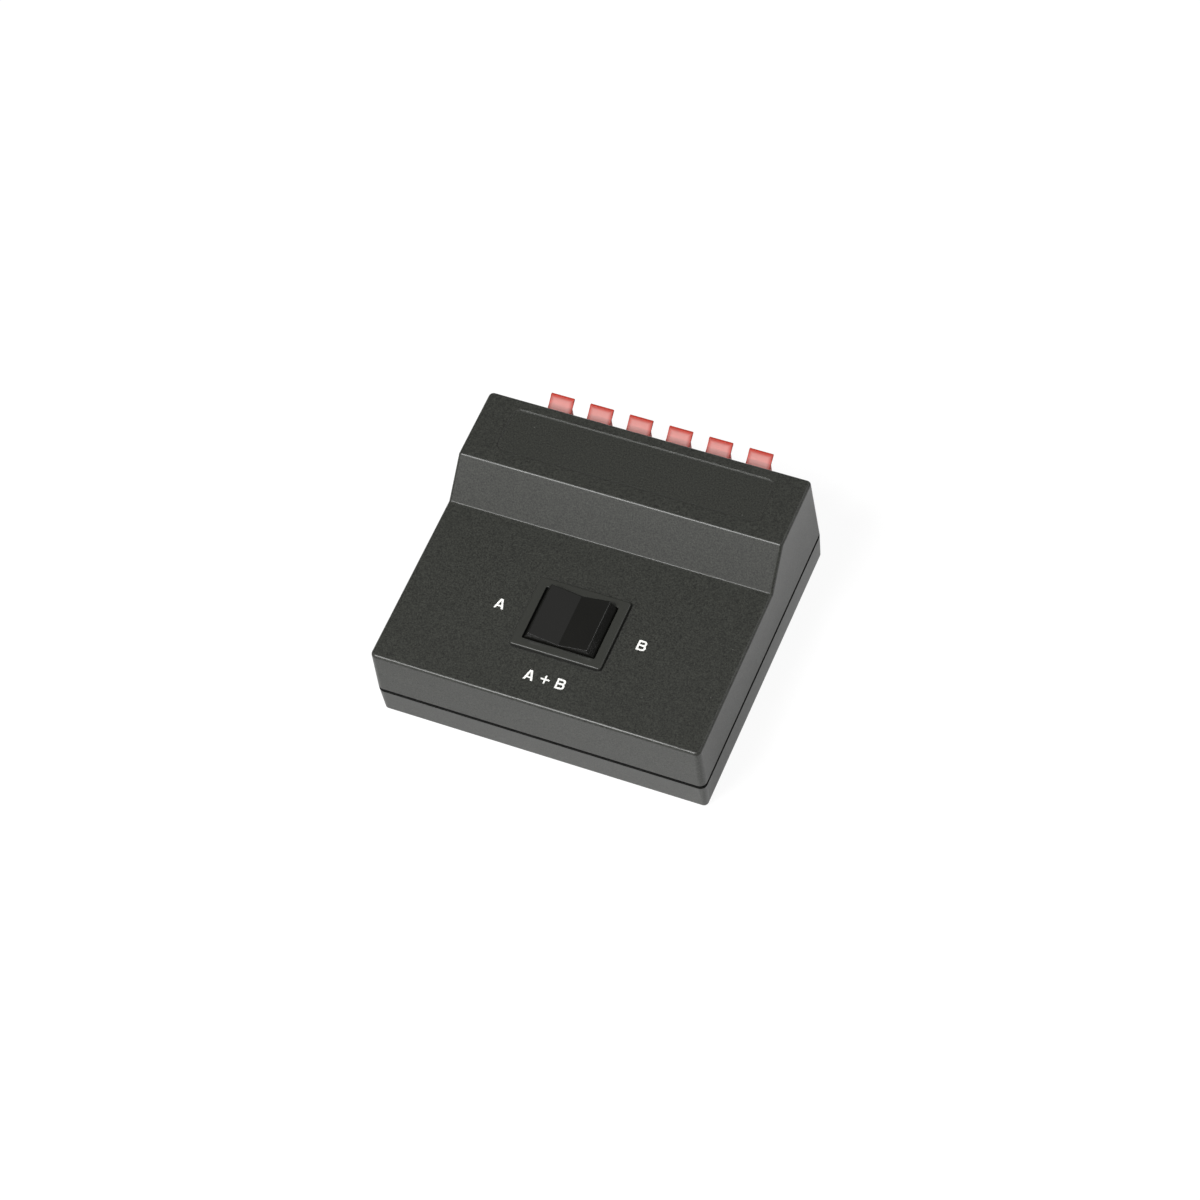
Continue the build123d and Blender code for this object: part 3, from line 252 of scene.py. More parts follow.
class Effect(ABC):
    """A node group that is built once and then placed in each material that uses it."""

    name: str
    inputs: tuple[Port, ...]
    outputs: tuple[Port, ...] = (MASK,)

    @abstractmethod
    def write(self, sheet: Sheet, given: dict[str, Flow]) -> dict[str, Flow]:
        """Writes the group's nodes.

        Args:
            sheet: The group's nodes.
            given: What its inputs give, by name.

        Returns:
            What it puts out, by name.
        """

    def group(self) -> bpy.types.NodeTree:
        """Returns the node group, which is built at the first call."""
        tree = bpy.data.node_groups.get(self.name)
        if tree is None:
            tree = bpy.data.node_groups.new(self.name, "ShaderNodeTree")
            for ports, way in ((self.inputs, "INPUT"), (self.outputs, "OUTPUT")):
                for port in ports:
                    socket = tree.interface.new_socket(port.name, in_out=way, socket_type=port.kind)
                    if port.default is not None:
                        socket.default_value = port.default
            sheet = Sheet(tree)
            entry = sheet.add("NodeGroupInput")
            given = {port.name: Flow(sheet, entry.outputs[port.name]) for port in self.inputs}
            sheet.add("NodeGroupOutput", self.write(sheet, given))
        return tree

    def place(self, sheet: Sheet, **values: object) -> dict[str, Flow]:
        """Places the group in a material.

        Args:
            sheet: The material's nodes.
            **values: What its inputs are fed, with _ in a name for a space.

        Returns:
            What it puts out, by name.
        """
        node = sheet.add("ShaderNodeGroup", node_tree=self.group())
        sheet.feed(node, {name.replace("_", " "): value for name, value in values.items()})
        return {port.name: Flow(sheet, node.outputs[port.name]) for port in self.outputs}


class MouldGrain(Effect):
    """The fine spark-eroded grain of a moulding: soft pits with a faint change of tone.

    Height is 0.65 of a noise at the grain's size plus 0.35 of one at half that size. Tone is the
    colour times 1 plus the spread times the same height, less a half. Cloud is a broad noise.
    """

    name = "mould_grain"
    inputs = (
        VECTOR_IN,
        Port("Colour", "NodeSocketColor", (0.05, 0.05, 0.05, 1.0)),
        Port("Size", default=0.3 * MM),
        Port("Spread", default=0.2),
    )
    outputs = (Port("Colour", "NodeSocketColor"), Port("Height"), Port("Cloud"))
    coarse_share = 0.65
    cloud_scale = 45.0
    cloud_range = (0.35, 0.68)

    def write(self, sheet: Sheet, given: dict[str, Flow]) -> dict[str, Flow]:
        """Writes two scales of noise for the grain and a broad one for the cloudiness."""
        where, scale = given["Vector"], 1.0 / given["Size"]
        coarse = sheet.noise(where, scale, 2.0) * self.coarse_share
        fine = sheet.noise(where, scale * 2.0, 2.0) * (1 - self.coarse_share)
        height = coarse + fine
        tone = (height - 0.5) * given["Spread"] + 1.0
        colour = sheet.mix(1.0, given["Colour"], sheet.grey(tone), Blend.MULTIPLY)
        cloud = sheet.noise(where, self.cloud_scale, 3.0).ramp(*self.cloud_range)
        return {"Colour": colour, "Height": height, "Cloud": cloud}


class EdgeRubAndRim(Effect):
    """A mask of convex edges: how far the rounded normal turns away from the flat one, as 1 minus
    their dot product, stretched and broken up by noise. It marks where hands and shelves have rubbed
    an edge, and on the clear levers where a dark rim is painted as shade."""

    name = "edge_rub"
    inputs = (VECTOR_IN, Port("Radius", default=0.6 * MM))
    turn_range = (0.02, 0.2)
    noise_scale = 900.0
    noise_range = (0.3, 0.7)

    def write(self, sheet: Sheet, given: dict[str, Flow]) -> dict[str, Flow]:
        """Writes the turn between the two normals and the noise."""
        rounded = sheet.value("ShaderNodeBevel", {"Radius": given["Radius"]}, samples=6)
        turn = 1.0 - sheet.vector("DOT_PRODUCT", rounded, sheet.facing(), output="Value")
        broken = sheet.noise(given["Vector"], self.noise_scale, 3.0).ramp(*self.noise_range)
        return {"Mask": turn.ramp(*self.turn_range) * broken}


class DustSpecks(Effect):
    """A few pale specks that have settled on faces that look up.

    A speck is where the distance to a scattered point is under Size, kept only where the cell's
    own random number is over one minus Amount and the face's normal points up.
    """

    name = "dust_specks"
    inputs = (
        VECTOR_IN,
        Port("Spacing", default=4 * MM),
        Port("Size", default=0.05),
        Port("Amount", default=0.2),
    )
    up_range = (0.6, 0.95)

    def write(self, sheet: Sheet, given: dict[str, Flow]) -> dict[str, Flow]:
        """Writes the scattered points, their random choice and the test for looking up."""
        values = {"Vector": given["Vector"], "Scale": 1.0 / given["Spacing"]}
        cells = sheet.add("ShaderNodeTexVoronoi", values)
        distance, random = Flow(sheet, cells.outputs["Distance"]), Flow(sheet, cells.outputs["Color"])
        close = sheet.math("LESS_THAN", distance, given["Size"])
        chance = sheet.value("ShaderNodeSeparateColor", {"Color": random})
        chosen = sheet.math("GREATER_THAN", chance, 1.0 - given["Amount"])
        up = sheet.split(sheet.facing())[2].ramp(*self.up_range)
        return {"Mask": close * chosen * up}


class DrawnLines(Effect):
    """The fine lines that rolling or drawing leaves on metal: noise stretched along one axis, and
    a broad patchy tarnish."""

    name = "drawn_lines"
    inputs = (VECTOR_IN, Port("Size", default=0.2 * MM))
    outputs = (Port("Lines"), Port("Tarnish"))
    stretch = (1.0, 0.06, 1.0)
    patch_scale = 420.0
    patch_range = (0.45, 0.75)

    def write(self, sheet: Sheet, given: dict[str, Flow]) -> dict[str, Flow]:
        """Writes the stretched noise and the patchy one."""
        values = {"Vector": given["Vector"], "Scale": self.stretch}
        lines = sheet.noise(sheet.value("ShaderNodeMapping", values), 1.0 / given["Size"], 2.0)
        tarnish = sheet.noise(given["Vector"], self.patch_scale, 4.0).ramp(*self.patch_range)
        return {"Lines": lines, "Tarnish": tarnish}


class SoftEdges(Effect):
    """The easing of a moulding's edges: the normal averaged over the surface within a radius."""

    name = "soft_edges"
    inputs = (Port("Radius", default=0.8 * MM),)
    outputs = (Port("Normal", "NodeSocketVector"),)

    def write(self, sheet: Sheet, given: dict[str, Flow]) -> dict[str, Flow]:
        """Writes one Bevel node."""
        return {"Normal": sheet.value("ShaderNodeBevel", {"Radius": given["Radius"]}, samples=8)}


class OcclusionShade(Effect):
    """A mask of where shade falls in narrow gaps and along the foot of a raised rim, used for painted
    shade and for dulled gloss.

    Open is the share of the directions above a point that meet nothing within Reach. The mask is
    1 where that share is under Closed, and falls smoothly to 0 at Clear.
    """

    name = "gap_grime"
    inputs = (
        Port("Reach", default=2.4 * MM),
        Port("Closed", default=0.4),
        Port("Clear", default=0.85),
    )

    def write(self, sheet: Sheet, given: dict[str, Flow]) -> dict[str, Flow]:
        """Writes the share of open directions, turned over and stretched."""
        values = {"Distance": given["Reach"]}
        open_share = sheet.value("ShaderNodeAmbientOcclusion", values, "AO", samples=8)
        return {"Mask": open_share.ramp(given["Clear"], given["Closed"])}


class SeamShadow(Effect):
    """A painted shadow along the gap between two halves of a housing, on the walls that stand upright.

    The mask is 1 within Core of the seam's Height, falls smoothly to 0 at Core plus Fade, and is
    kept only where the normal's z is under a half. The normal leans up by the mask, so that the
    line mirrors what is above it rather than the floor: it is the one given plus the mask times z,
    made one long again.
    """

    name = "seam_line"
    inputs = (
        VECTOR_IN,
        Port("Normal", "NodeSocketVector"),
        Port("Height", default=10 * MM),
        Port("Core", default=0.58 * MM),
        Port("Fade", default=0.35 * MM),
    )
    outputs = (MASK, Port("Normal", "NodeSocketVector"))
    steepest = 0.5

    def write(self, sheet: Sheet, given: dict[str, Flow]) -> dict[str, Flow]:
        """Writes the distance from the seam, its falling edge and the test for upright walls."""
        above = sheet.split(given["Vector"])[2] - given["Height"]
        fade = ((abs(above) - given["Core"]) / given["Fade"]).ramp(0.0, 1.0)
        upright = sheet.math("LESS_THAN", abs(sheet.split(sheet.facing())[2]), self.steepest)
        mask = (1.0 - fade) * upright
        lift = sheet.value("ShaderNodeCombineXYZ", {"Z": mask})
        leaning = sheet.vector("ADD", given["Normal"], lift)
        return {"Mask": mask, "Normal": sheet.vector("NORMALIZE", leaning)}


class PaintedEdgeDepth(Effect):
    """Where a row of clear tabs is seen edge-on, and so is painted a deeper colour, as light takes a
    longer way through the plastic there.

    Across is how far a point is from its own tab's middle, in half widths: the distance from
    Centre is wrapped to half a Pitch each way, and divided by Half Width. The mask is the greater
    of across, from 1 less Rim to 1, and of y, from Tip less twice Lip to Tip less Lip.
    """

    name = "edge_on_depth"
    inputs = (
        VECTOR_IN,
        Port("Centre", default=0.0),
        Port("Pitch", default=10 * MM),
        Port("Half Width", default=4 * MM),
        Port("Rim", default=0.4),
        Port("Tip", default=50 * MM),
        Port("Lip", default=0.8 * MM),
    )

    def write(self, sheet: Sheet, given: dict[str, Flow]) -> dict[str, Flow]:
        """Writes the wrapped distance, the distance from the tip and the greater of the two."""
        x, y, _ = sheet.split(given["Vector"])
        half = given["Pitch"] * 0.5
        across = abs(sheet.math("WRAP", x - given["Centre"], half, half * -1.0)) / given["Half Width"]
        side = (across - (1.0 - given["Rim"])) / given["Rim"]
        end = (y - (given["Tip"] - given["Lip"] * 2.0)) / given["Lip"]
        return {"Mask": sheet.math("MAXIMUM", side, end).ramp(0.0, 1.0)}


GRAIN = MouldGrain()
RUB_AND_RIM = EdgeRubAndRim()
SPECKS = DustSpecks()
LINES = DrawnLines()
EASING = SoftEdges()
OCCLUSION_SHADE = OcclusionShade()
SEAM_SHADOW = SeamShadow()
PAINTED_EDGE_DEPTH = PaintedEdgeDepth()


# ---------------------------------------------------------------- finishes
class FinishSheet(Sheet):
    """The nodes of one finish.

    Attributes:
        where: Object coordinates.
        shader: The Principled shader, which is joined to the output.
        end: The material's output node.
    """

    def __init__(self, tree: bpy.types.NodeTree) -> None:
        """Clears the tree and adds the three nodes that every finish has."""
        super().__init__(tree)
        self.where = self.value("ShaderNodeTexCoord", output="Object")
        self.shader = self.add("ShaderNodeBsdfPrincipled")
        surface = Flow(self, self.shader.outputs[0])
        self.end = self.add("ShaderNodeOutputMaterial", {"Surface": surface})

    def fill(self, **values: object) -> None:
        """Feeds the shader's inputs, with _ in a name for a space."""
        self.feed(self.shader, {name.replace("_", " "): value for name, value in values.items()})

    def relief(self, height: Flow, depth: float, normal: Flow | None = None) -> None:
        """Feeds a height to the shader's normal.

        Args:
            height: The relief, from 0 to 1.
            depth: How deep it is in metres.
            normal: The normal under it, or None for the surface's own.
        """
        values = {"Height": height, "Distance": depth}
        if normal is not None:
            values["Normal"] = normal
        self.fill(Normal=self.value("ShaderNodeBump", values))


@dataclass(frozen=True)
class Finish(ABC):
    """A finish that is made into one material at its first use.

    Attributes:
        made: The materials made so far, by name.
        name: The material's name, which isn't one of the frame's own.
        colour: The base colour, linear.
        roughness: The plain roughness, from 0 to 1.
    """

    made: ClassVar[dict[str, bpy.types.Material]] = {}
    name: str
    colour: Colour
    roughness: float

    def material(self) -> bpy.types.Material:
        """Returns the material, which is written at the first call."""
        if self.name not in self.made:
            material = bpy.data.materials.new(self.name)
            material.use_nodes = True
            material.diffuse_color = self.colour
            self.write(FinishSheet(material.node_tree))
            self.made[self.name] = material
        return self.made[self.name]

    @abstractmethod
    def write(self, sheet: FinishSheet) -> None:
        """Writes the finish's own nodes."""


@dataclass(frozen=True)
class Moulding(Finish):
    """Opaque moulded plastic.

    Attributes:
        grain: Size of the surface grain.
        depth: Depth of the grain.
        spread: How much the grain changes the tone.
        rub: How much the edges are lightened by handling.
        specks: How much of the dust is seen.
        gap_shade: How much of the colour the narrow gaps lose to painted shade.
        gap_dulling: How much rougher a gap or a seam is than the rest.
        foot_dulling: How much rougher the foot of a rim or a slope is than the rest.
        foot_reach: How far from a rim its foot is told by the directions that it blocks.
        foot_closed: The share of open directions at which a foot is at its roughest.
        foot_clear: The share from which it is no rougher.
        seam: Height of the seam between two halves, along which a shadow is painted, or 0 where there
            is none.
        easing: Radius over which the edges are eased.
        gloss_change: How much the cloudiness changes the roughness.
        pale_gain: How many times paler than the base colour a rubbed edge is.
        pale_lift: How much is added to that.
    """

    grain: float = 0.3 * MM
    depth: float = 0.02 * MM
    spread: float = 0.1
    rub: float = 0.0
    specks: float = 0.0
    gap_shade: float = 0.0
    gap_dulling: float = 0.6
    foot_dulling: float = 0.45
    foot_reach: float = 0.9 * MM
    foot_closed: float = 0.74
    foot_clear: float = 0.97
    seam: float = 0.0
    easing: float = 0.0
    gloss_change: float = 0.06
    pale_gain: float = 3.2
    pale_lift: float = 0.03

    def write(self, sheet: FinishSheet) -> None:
        """Writes grain, rubbed edges, dust, painted shade in gaps and along the seam, and cloudy
        gloss.
        """
        where = sheet.where
        grain = GRAIN.place(
            sheet, Vector=where, Colour=self.colour, Size=self.grain, Spread=self.spread
        )
        colour = grain["Colour"]
        roughness = grain["Cloud"] * self.gloss_change + self.roughness
        normal = EASING.place(sheet, Radius=self.easing)["Normal"] if self.easing > 0 else None
        if self.rub > 0:
            rubbed = RUB_AND_RIM.place(sheet, Vector=where)["Mask"]
            colour = sheet.mix(rubbed * self.rub, colour, self.rubbed_colour())
        if self.specks > 0:
            specks = SPECKS.place(sheet, Vector=where)["Mask"]
            colour = sheet.mix(specks * self.specks, colour, DUST)
        # Painted shade: where little of the sky above a point is open, its colour is darkened towards
        # near black.
        if self.gap_shade > 0:
            gap = OCCLUSION_SHADE.place(sheet)["Mask"] * self.gap_shade
            foot = OCCLUSION_SHADE.place(
                sheet, Reach=self.foot_reach, Closed=self.foot_closed, Clear=self.foot_clear
            )["Mask"]
            colour = sheet.mix(gap, colour, PAINTED_SHADE)
            roughness = roughness + gap * self.gap_dulling + foot * self.foot_dulling
        # Painted shadow: a black, metallic and rougher band along the seam, with its normal leaned up,
        # stands in for the shade in the gap.
        if self.seam > 0:
            under = normal or sheet.facing()
            line = SEAM_SHADOW.place(sheet, Vector=where, Normal=under, Height=self.seam)
            colour = sheet.mix(line["Mask"], colour, BLACK)
            roughness = roughness + line["Mask"] * self.gap_dulling
            normal = line["Normal"]
            sheet.fill(Metallic=line["Mask"])
        sheet.fill(Base_Color=colour, Roughness=roughness)
        sheet.relief(grain["Height"], self.depth, normal)

    def rubbed_colour(self) -> Colour:
        """Gives the paler colour of a rubbed edge: gain times the base colour, plus lift."""
        red, green, blue = (self.pale_gain * part + self.pale_lift for part in self.colour[:3])
        return (min(1.0, red), min(1.0, green), min(1.0, blue), 1.0)


@dataclass(frozen=True)
class TintedPlastic(Finish):
    """Translucent plastic of the clamp levers, coloured through its thickness.

    Attributes:
        deep: The deeper colour painted where it is seen edge-on.
        rim: The dark colour painted on the very edges as shade.
        centre: The x of one tab's middle.
        pitch: How far apart the tabs' middles are.
        half_width: Half of a tab's width.
        tip: The y of the tabs' tips.
        tint: The colour that passes through it.
        density: How strongly the rest is absorbed, per metre.
        passing: The share of light that passes the surface and isn't scattered at it.
        refraction: Its index of refraction.
        stretch: How much finer the flow lines are across than along the lever.
        waves: How many flow lines there are to the metre.
        ripple: Depth of the flow lines.
        gloss_change: How much the flow lines change the roughness.
        grain: Size of the surface grain.
        spread: How much the grain changes the tone.
        edge: Radius of the edges that take the rim's colour.
    """

    deep: Colour
    rim: Colour
    centre: float
    pitch: float
    half_width: float
    tip: float
    tint: Colour = (0.9, 0.05, 0.04, 1.0)
    density: float = 1200.0
    passing: float = 0.35
    refraction: float = 1.49
    stretch: Place = (1.0, 0.4, 0.4)
    waves: float = 700.0
    ripple: float = 0.03 * MM
    gloss_change: float = 0.08
    grain: float = 0.2 * MM
    spread: float = 0.08
    edge: float = 0.25 * MM

    def write(self, sheet: FinishSheet) -> None:
        """Writes flow lines in the surface, a painted deeper colour and painted shade at the edges, a
        clear body and its absorption.
        """
        where = sheet.where
        flow = sheet.value("ShaderNodeMapping", {"Vector": where, "Scale": self.stretch})
        waves = sheet.noise(flow, self.waves, 2.0)
        grain = GRAIN.place(
            sheet, Vector=where, Colour=self.colour, Size=self.grain, Spread=self.spread
        )
        fit = {"Centre": self.centre, "Pitch": self.pitch, "Half_Width": self.half_width}
        # Painted depth and shade: the sides and the tip are painted deeper red, and the very edges
        # dark red.
        deep = PAINTED_EDGE_DEPTH.place(sheet, Vector=where, Tip=self.tip, **fit)["Mask"]
        edge = RUB_AND_RIM.place(sheet, Vector=where, Radius=self.edge)["Mask"]
        body = sheet.mix(deep, grain["Colour"], self.deep)
        sheet.fill(
            Base_Color=sheet.mix(edge, body, self.rim),
            Roughness=waves * self.gloss_change + self.roughness,
            Transmission_Weight=self.passing,
            IOR=self.refraction,
        )
        sheet.relief(waves, self.ripple)
        absorbed = {"Color": self.tint, "Density": self.density}
        sheet.feed(sheet.end, {"Volume": sheet.value("ShaderNodeVolumeAbsorption", absorbed)})


@dataclass(frozen=True)
class SheetMetal(Finish):
    """Rolled, plated or cast metal.

    Attributes:
        tarnished: The colour of the duller patches.
        depth: Depth of the drawn lines.
        line: Size of the drawn lines.
        dulling: How much of the tarnish is seen.
        patch_change: How much rougher the tarnish is.
        line_change: How much the lines change the roughness.
    """

    tarnished: Colour
    depth: float = 0.006 * MM
    line: float = 0.12 * MM
    dulling: float = 0.4
    patch_change: float = 0.3
    line_change: float = 0.12

    def write(self, sheet: FinishSheet) -> None:
        """Writes drawn lines, and tarnish that dulls both colour and gloss."""
        marks = LINES.place(sheet, Vector=sheet.where, Size=self.line)
        dull = marks["Tarnish"] * self.dulling
        sheet.fill(
            Base_Color=sheet.mix(dull, self.colour, self.tarnished),
            Metallic=1.0,
            Roughness=dull * self.patch_change + self.roughness + marks["Lines"] * self.line_change,
        )
        sheet.relief(marks["Lines"], self.depth)


@dataclass(frozen=True)
class PressedBoard(Finish):
    """Paper board bonded with resin: pale and dark fibres lying every way under a dull gloss.

    Attributes:
        fibre: The colour of the pale fibres.
        bend_scale: Waves to the metre of the noise that bends the fibres.
        fibre_scale: Fibres to one turn of that noise.
        distortion: How much the fibres are twisted.
        fibre_range: The noise at which a fibre begins and is at its palest.
        fibre_change: How much rougher the pale fibres are.
        depth: Depth of the fibres' relief.
    """

    fibre: Colour
    bend_scale: float = 250.0
    fibre_scale: float = 14.0
    distortion: float = 1.5
    fibre_range: tuple[float, float] = (0.42, 0.66)
    fibre_change: float = 0.2
    depth: float = 0.03 * MM

    def write(self, sheet: FinishSheet) -> None:
        """Writes fibres as noise that is bent by a broader noise."""
        broad = {"Vector": sheet.where, "Scale": self.bend_scale, "Detail": 1.0}
        narrow = {
            "Vector": sheet.value("ShaderNodeTexNoise", broad, "Color"),
            "Scale": self.fibre_scale,
            "Detail": 4.0,
            "Distortion": self.distortion,
        }
        fibres = sheet.value("ShaderNodeTexNoise", narrow)
        mask = fibres.ramp(*self.fibre_range)
        sheet.fill(
            Base_Color=sheet.mix(mask, self.colour, self.fibre),
            Roughness=mask * self.fibre_change + self.roughness,
        )
        sheet.relief(fibres, self.depth)


@dataclass(frozen=True)
class Ink(Finish):
    """Screen-printed ink: a thin, slightly uneven coat that follows the grain below it.

    Attributes:
        grain: Size of the grain below it.
        depth: How much of the grain's depth shows through.
        spread: How much the grain changes the tone.
        mottling: How much the grain changes the roughness.
    """

    grain: float = 0.25 * MM
    depth: float = 0.012 * MM
    spread: float = 0.1
    mottling: float = 0.2

    def write(self, sheet: FinishSheet) -> None:
        """Writes the ink's faint mottling and the grain that shows through it."""
        grain = GRAIN.place(
            sheet, Vector=sheet.where, Colour=self.colour, Size=self.grain, Spread=self.spread
        )
        roughness = grain["Height"] * self.mottling + self.roughness
        sheet.fill(Base_Color=grain["Colour"], Roughness=roughness)
        sheet.relief(grain["Height"], self.depth)


DUST = paint(150, 150, 145)
# The near black of the painted shade in gaps.
PAINTED_SHADE = paint(3, 3, 3)
# The black of the painted shadow along the seam.
BLACK = paint(0, 0, 0)

# The housing's gaps and the foot of its rims take painted shade.
HOUSING_GREY = Moulding(
    "housing_grey",
    paint(47, 48, 44),
    0.34,
    grain=0.5 * MM,
    depth=0.012 * MM,
    spread=4.0,
    specks=0.25,
    gap_shade=0.9,
    # The seam between cover and tray takes a painted shadow.
    seam=12.95 * MM,
    easing=0.15 * MM,
    gloss_change=0.02,
)
# The switch frame's gaps take painted shade as well.
FRAME_GREY = Moulding(
    "frame_grey", paint(47, 48, 44), 0.34, depth=0.006 * MM, spread=0.5, gap_shade=0.9, easing=0.3 * MM
)
ROCKER_BLACK = Moulding(
    "rocker_gloss_black", paint(22, 22, 20), 0.22, depth=0.003 * MM, spread=0.4, easing=0.2 * MM
)
BLOCK_BLACK = Moulding(
    "block_satin_black", paint(33, 33, 34), 0.48, grain=0.25 * MM, spread=0.3, rub=0.08
)
LEVER_BLACK = Moulding(
    "lever_solid_black",
    paint(24, 24, 26),
    0.26,
    grain=0.2 * MM,
    depth=0.005 * MM,
    spread=0.15,
    rub=0.06,
)
ACETAL_WHITE = Moulding("acetal_white", paint(222, 221, 214), 0.42, depth=0.01 * MM, spread=0.06)
RUBBER_BLACK = Moulding(
    "rubber_black", paint(38, 38, 38), 0.85, grain=0.16 * MM, depth=0.03 * MM, spread=0.5, rub=0.1
)
SLEEVE: dict[str, float] = {"grain": 0.5 * MM, "depth": 0.008 * MM}
WIRE_RED = Moulding("sleeve_red", paint(186, 34, 30), 0.36, **SLEEVE)
WIRE_BLACK = Moulding("sleeve_black", paint(36, 36, 38), 0.36, **SLEEVE)
WIRE_WHITE = Moulding("sleeve_white", paint(226, 226, 220), 0.38, spread=0.05, **SLEEVE)
BOARD_BROWN = PressedBoard("board_brown", paint(104, 72, 44), 0.45, paint(140, 104, 68))
SPRING_BRONZE = SheetMetal("spring_bronze", paint(214, 164, 116), 0.26, paint(120, 84, 58))
CONTACT_BRASS = SheetMetal("contact_brass", paint(226, 192, 122), 0.24, paint(140, 108, 62))
ZINC_STEEL = SheetMetal("zinc_steel", paint(190, 192, 196), 0.3, paint(120, 122, 126))
SOLDER = SheetMetal("solder", paint(196, 196, 200), 0.28, paint(118, 116, 112), depth=0.01 * MM)
PRINT_WHITE = Ink("print_white", paint(243, 243, 239), 0.45)


# ---------------------------------------------------------------- meshes
def add_piece(
    name: str, points: np.ndarray, faces: Faces, finish: Finish
) -> bpy.types.Object:
    """Makes a piece at the origin that rides on the housing.

    Args:
        name: The piece's name.
        points: Its vertices, one row each, in the row frame.
        faces: Its faces, as vertex numbers that run anticlockwise seen from outside.
        finish: What it is finished with.

    Returns:
        The new object, in the scene's collection.
    """
    mesh = bpy.data.meshes.new(name)
    mesh.from_pydata(points.tolist(), [], faces)
    mesh.validate()
    mesh.update()
    piece = bpy.data.objects.new(name, mesh)
    bpy.context.scene.collection.objects.link(piece)
    piece.data.materials.append(finish.material())
    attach(piece, HOUSING)
    log.info("%s: %d vertices, %d faces, %s", name, len(points), len(faces), finish.name)
    return piece


# ---------------------------------------------------------------- printed marks and moulded signs
class Mark(Enum):
    """A sign that can be printed or moulded."""

    A = "A"
    B = "B"
    PLUS = "plus"
    MINUS = "minus"


@dataclass
class SignShape:
    """The outlines of plain bold signs, in the plane, with the middle of the sign at the origin.

    Attributes:
        height: Cap height.
        stroke: Width of the strokes.
    """

    height: float
    stroke: float

    def outlines(self, mark: Mark) -> list[np.ndarray]:
        """Returns the mark's outer outline first, then its holes."""
        makers = {
            Mark.A: self.letter_a,
            Mark.B: self.letter_b,
            Mark.PLUS: self.plus,
            Mark.MINUS: self.minus,
        }
        return makers[mark]()

    def letter_a(self) -> list[np.ndarray]:
        """Two legs that lean in to a flat apex, and a bar between them.

        A leg's outer side at height y is at x = half width - lean * y, and its inner side is one
        foot further in. The hole is what lies between the inner sides above the bar.
        """
        half, apex, foot = 0.44 * self.height, 0.13 * self.height, 1.13 * self.stroke
        lean = (half - apex) / self.height
        inner = half - foot
        low = 0.21 * self.height
        high = low + 0.85 * self.stroke
        right = np.array([[inner - lean * low, low], [inner, 0.0], [half, 0.0], [apex, self.height]])
        left = right[::-1] * (-1, 1)
        side = inner - lean * high
        hole = np.array([[0.0, inner / lean], [-side, high], [side, high]])
        middle = (0.0, self.height / 2)
        return [np.vstack([right, left]) - middle, hole - middle]

    def letter_b(self) -> list[np.ndarray]:
        """A stem and two bowls.

        Each bowl is a half circle on a straight run. The right side at height y is the further of
        the two bowls, x = start + sqrt(r^2 - (y - centre)^2). The holes are the bowls less a stroke.
        """
        stroke, height = self.stroke, self.height
        waist, reach = 0.52 * height, 0.82 * height
        low_radius = (waist + stroke / 2) / 2
        high_radius = (height - waist + stroke / 2) / 2
        bowls = [
            (reach - low_radius, low_radius, low_radius),
            (0.95 * reach - high_radius, height - high_radius, high_radius),
        ]
        rise = height * (1 - np.cos(np.linspace(0, np.pi, 61))) / 2
        turn = np.linspace(np.pi / 2, -np.pi / 2, 25)
        right = np.zeros_like(rise)
        holes = []
        for start, centre, radius in bowls:
            off = rise - centre
            side = start + np.sqrt(np.clip(radius**2 - off**2, 0, None))
            right = np.maximum(right, np.where(np.abs(off) <= radius, side, 0))
            inner = radius - stroke
            arc = np.column_stack([start + inner * np.cos(turn), centre + inner * np.sin(turn)])
            holes.append(np.vstack([arc, [[stroke, centre - inner], [stroke, centre + inner]]]))
        outer = np.vstack([[[0.0, 0.0]], np.column_stack([right, rise]), [[0.0, height]]])
        middle = (reach / 2, height / 2)
        return [outline - middle for outline in [outer, *holes]]

    def bar(self) -> tuple[float, float]:
        """Gives half the length of a bar, 0.4 of the height, and half its width."""
        return 0.4 * self.height, 0.425 * self.stroke

    def plus(self) -> list[np.ndarray]:
        """Two equal bars that cross."""
        reach, half = self.bar()
        arm = np.array([[reach, -half], [reach, half], [half, half]])
        quarter = np.array([[0.0, -1.0], [1.0, 0.0]])
        turns = [np.linalg.matrix_power(quarter, k) for k in range(4)]
        return [np.vstack([arm @ turn.T for turn in turns])]

    def minus(self) -> list[np.ndarray]:
        """One bar."""
        reach, half = self.bar()
        return [np.array([[-reach, -half], [reach, -half], [reach, half], [-reach, half]])]


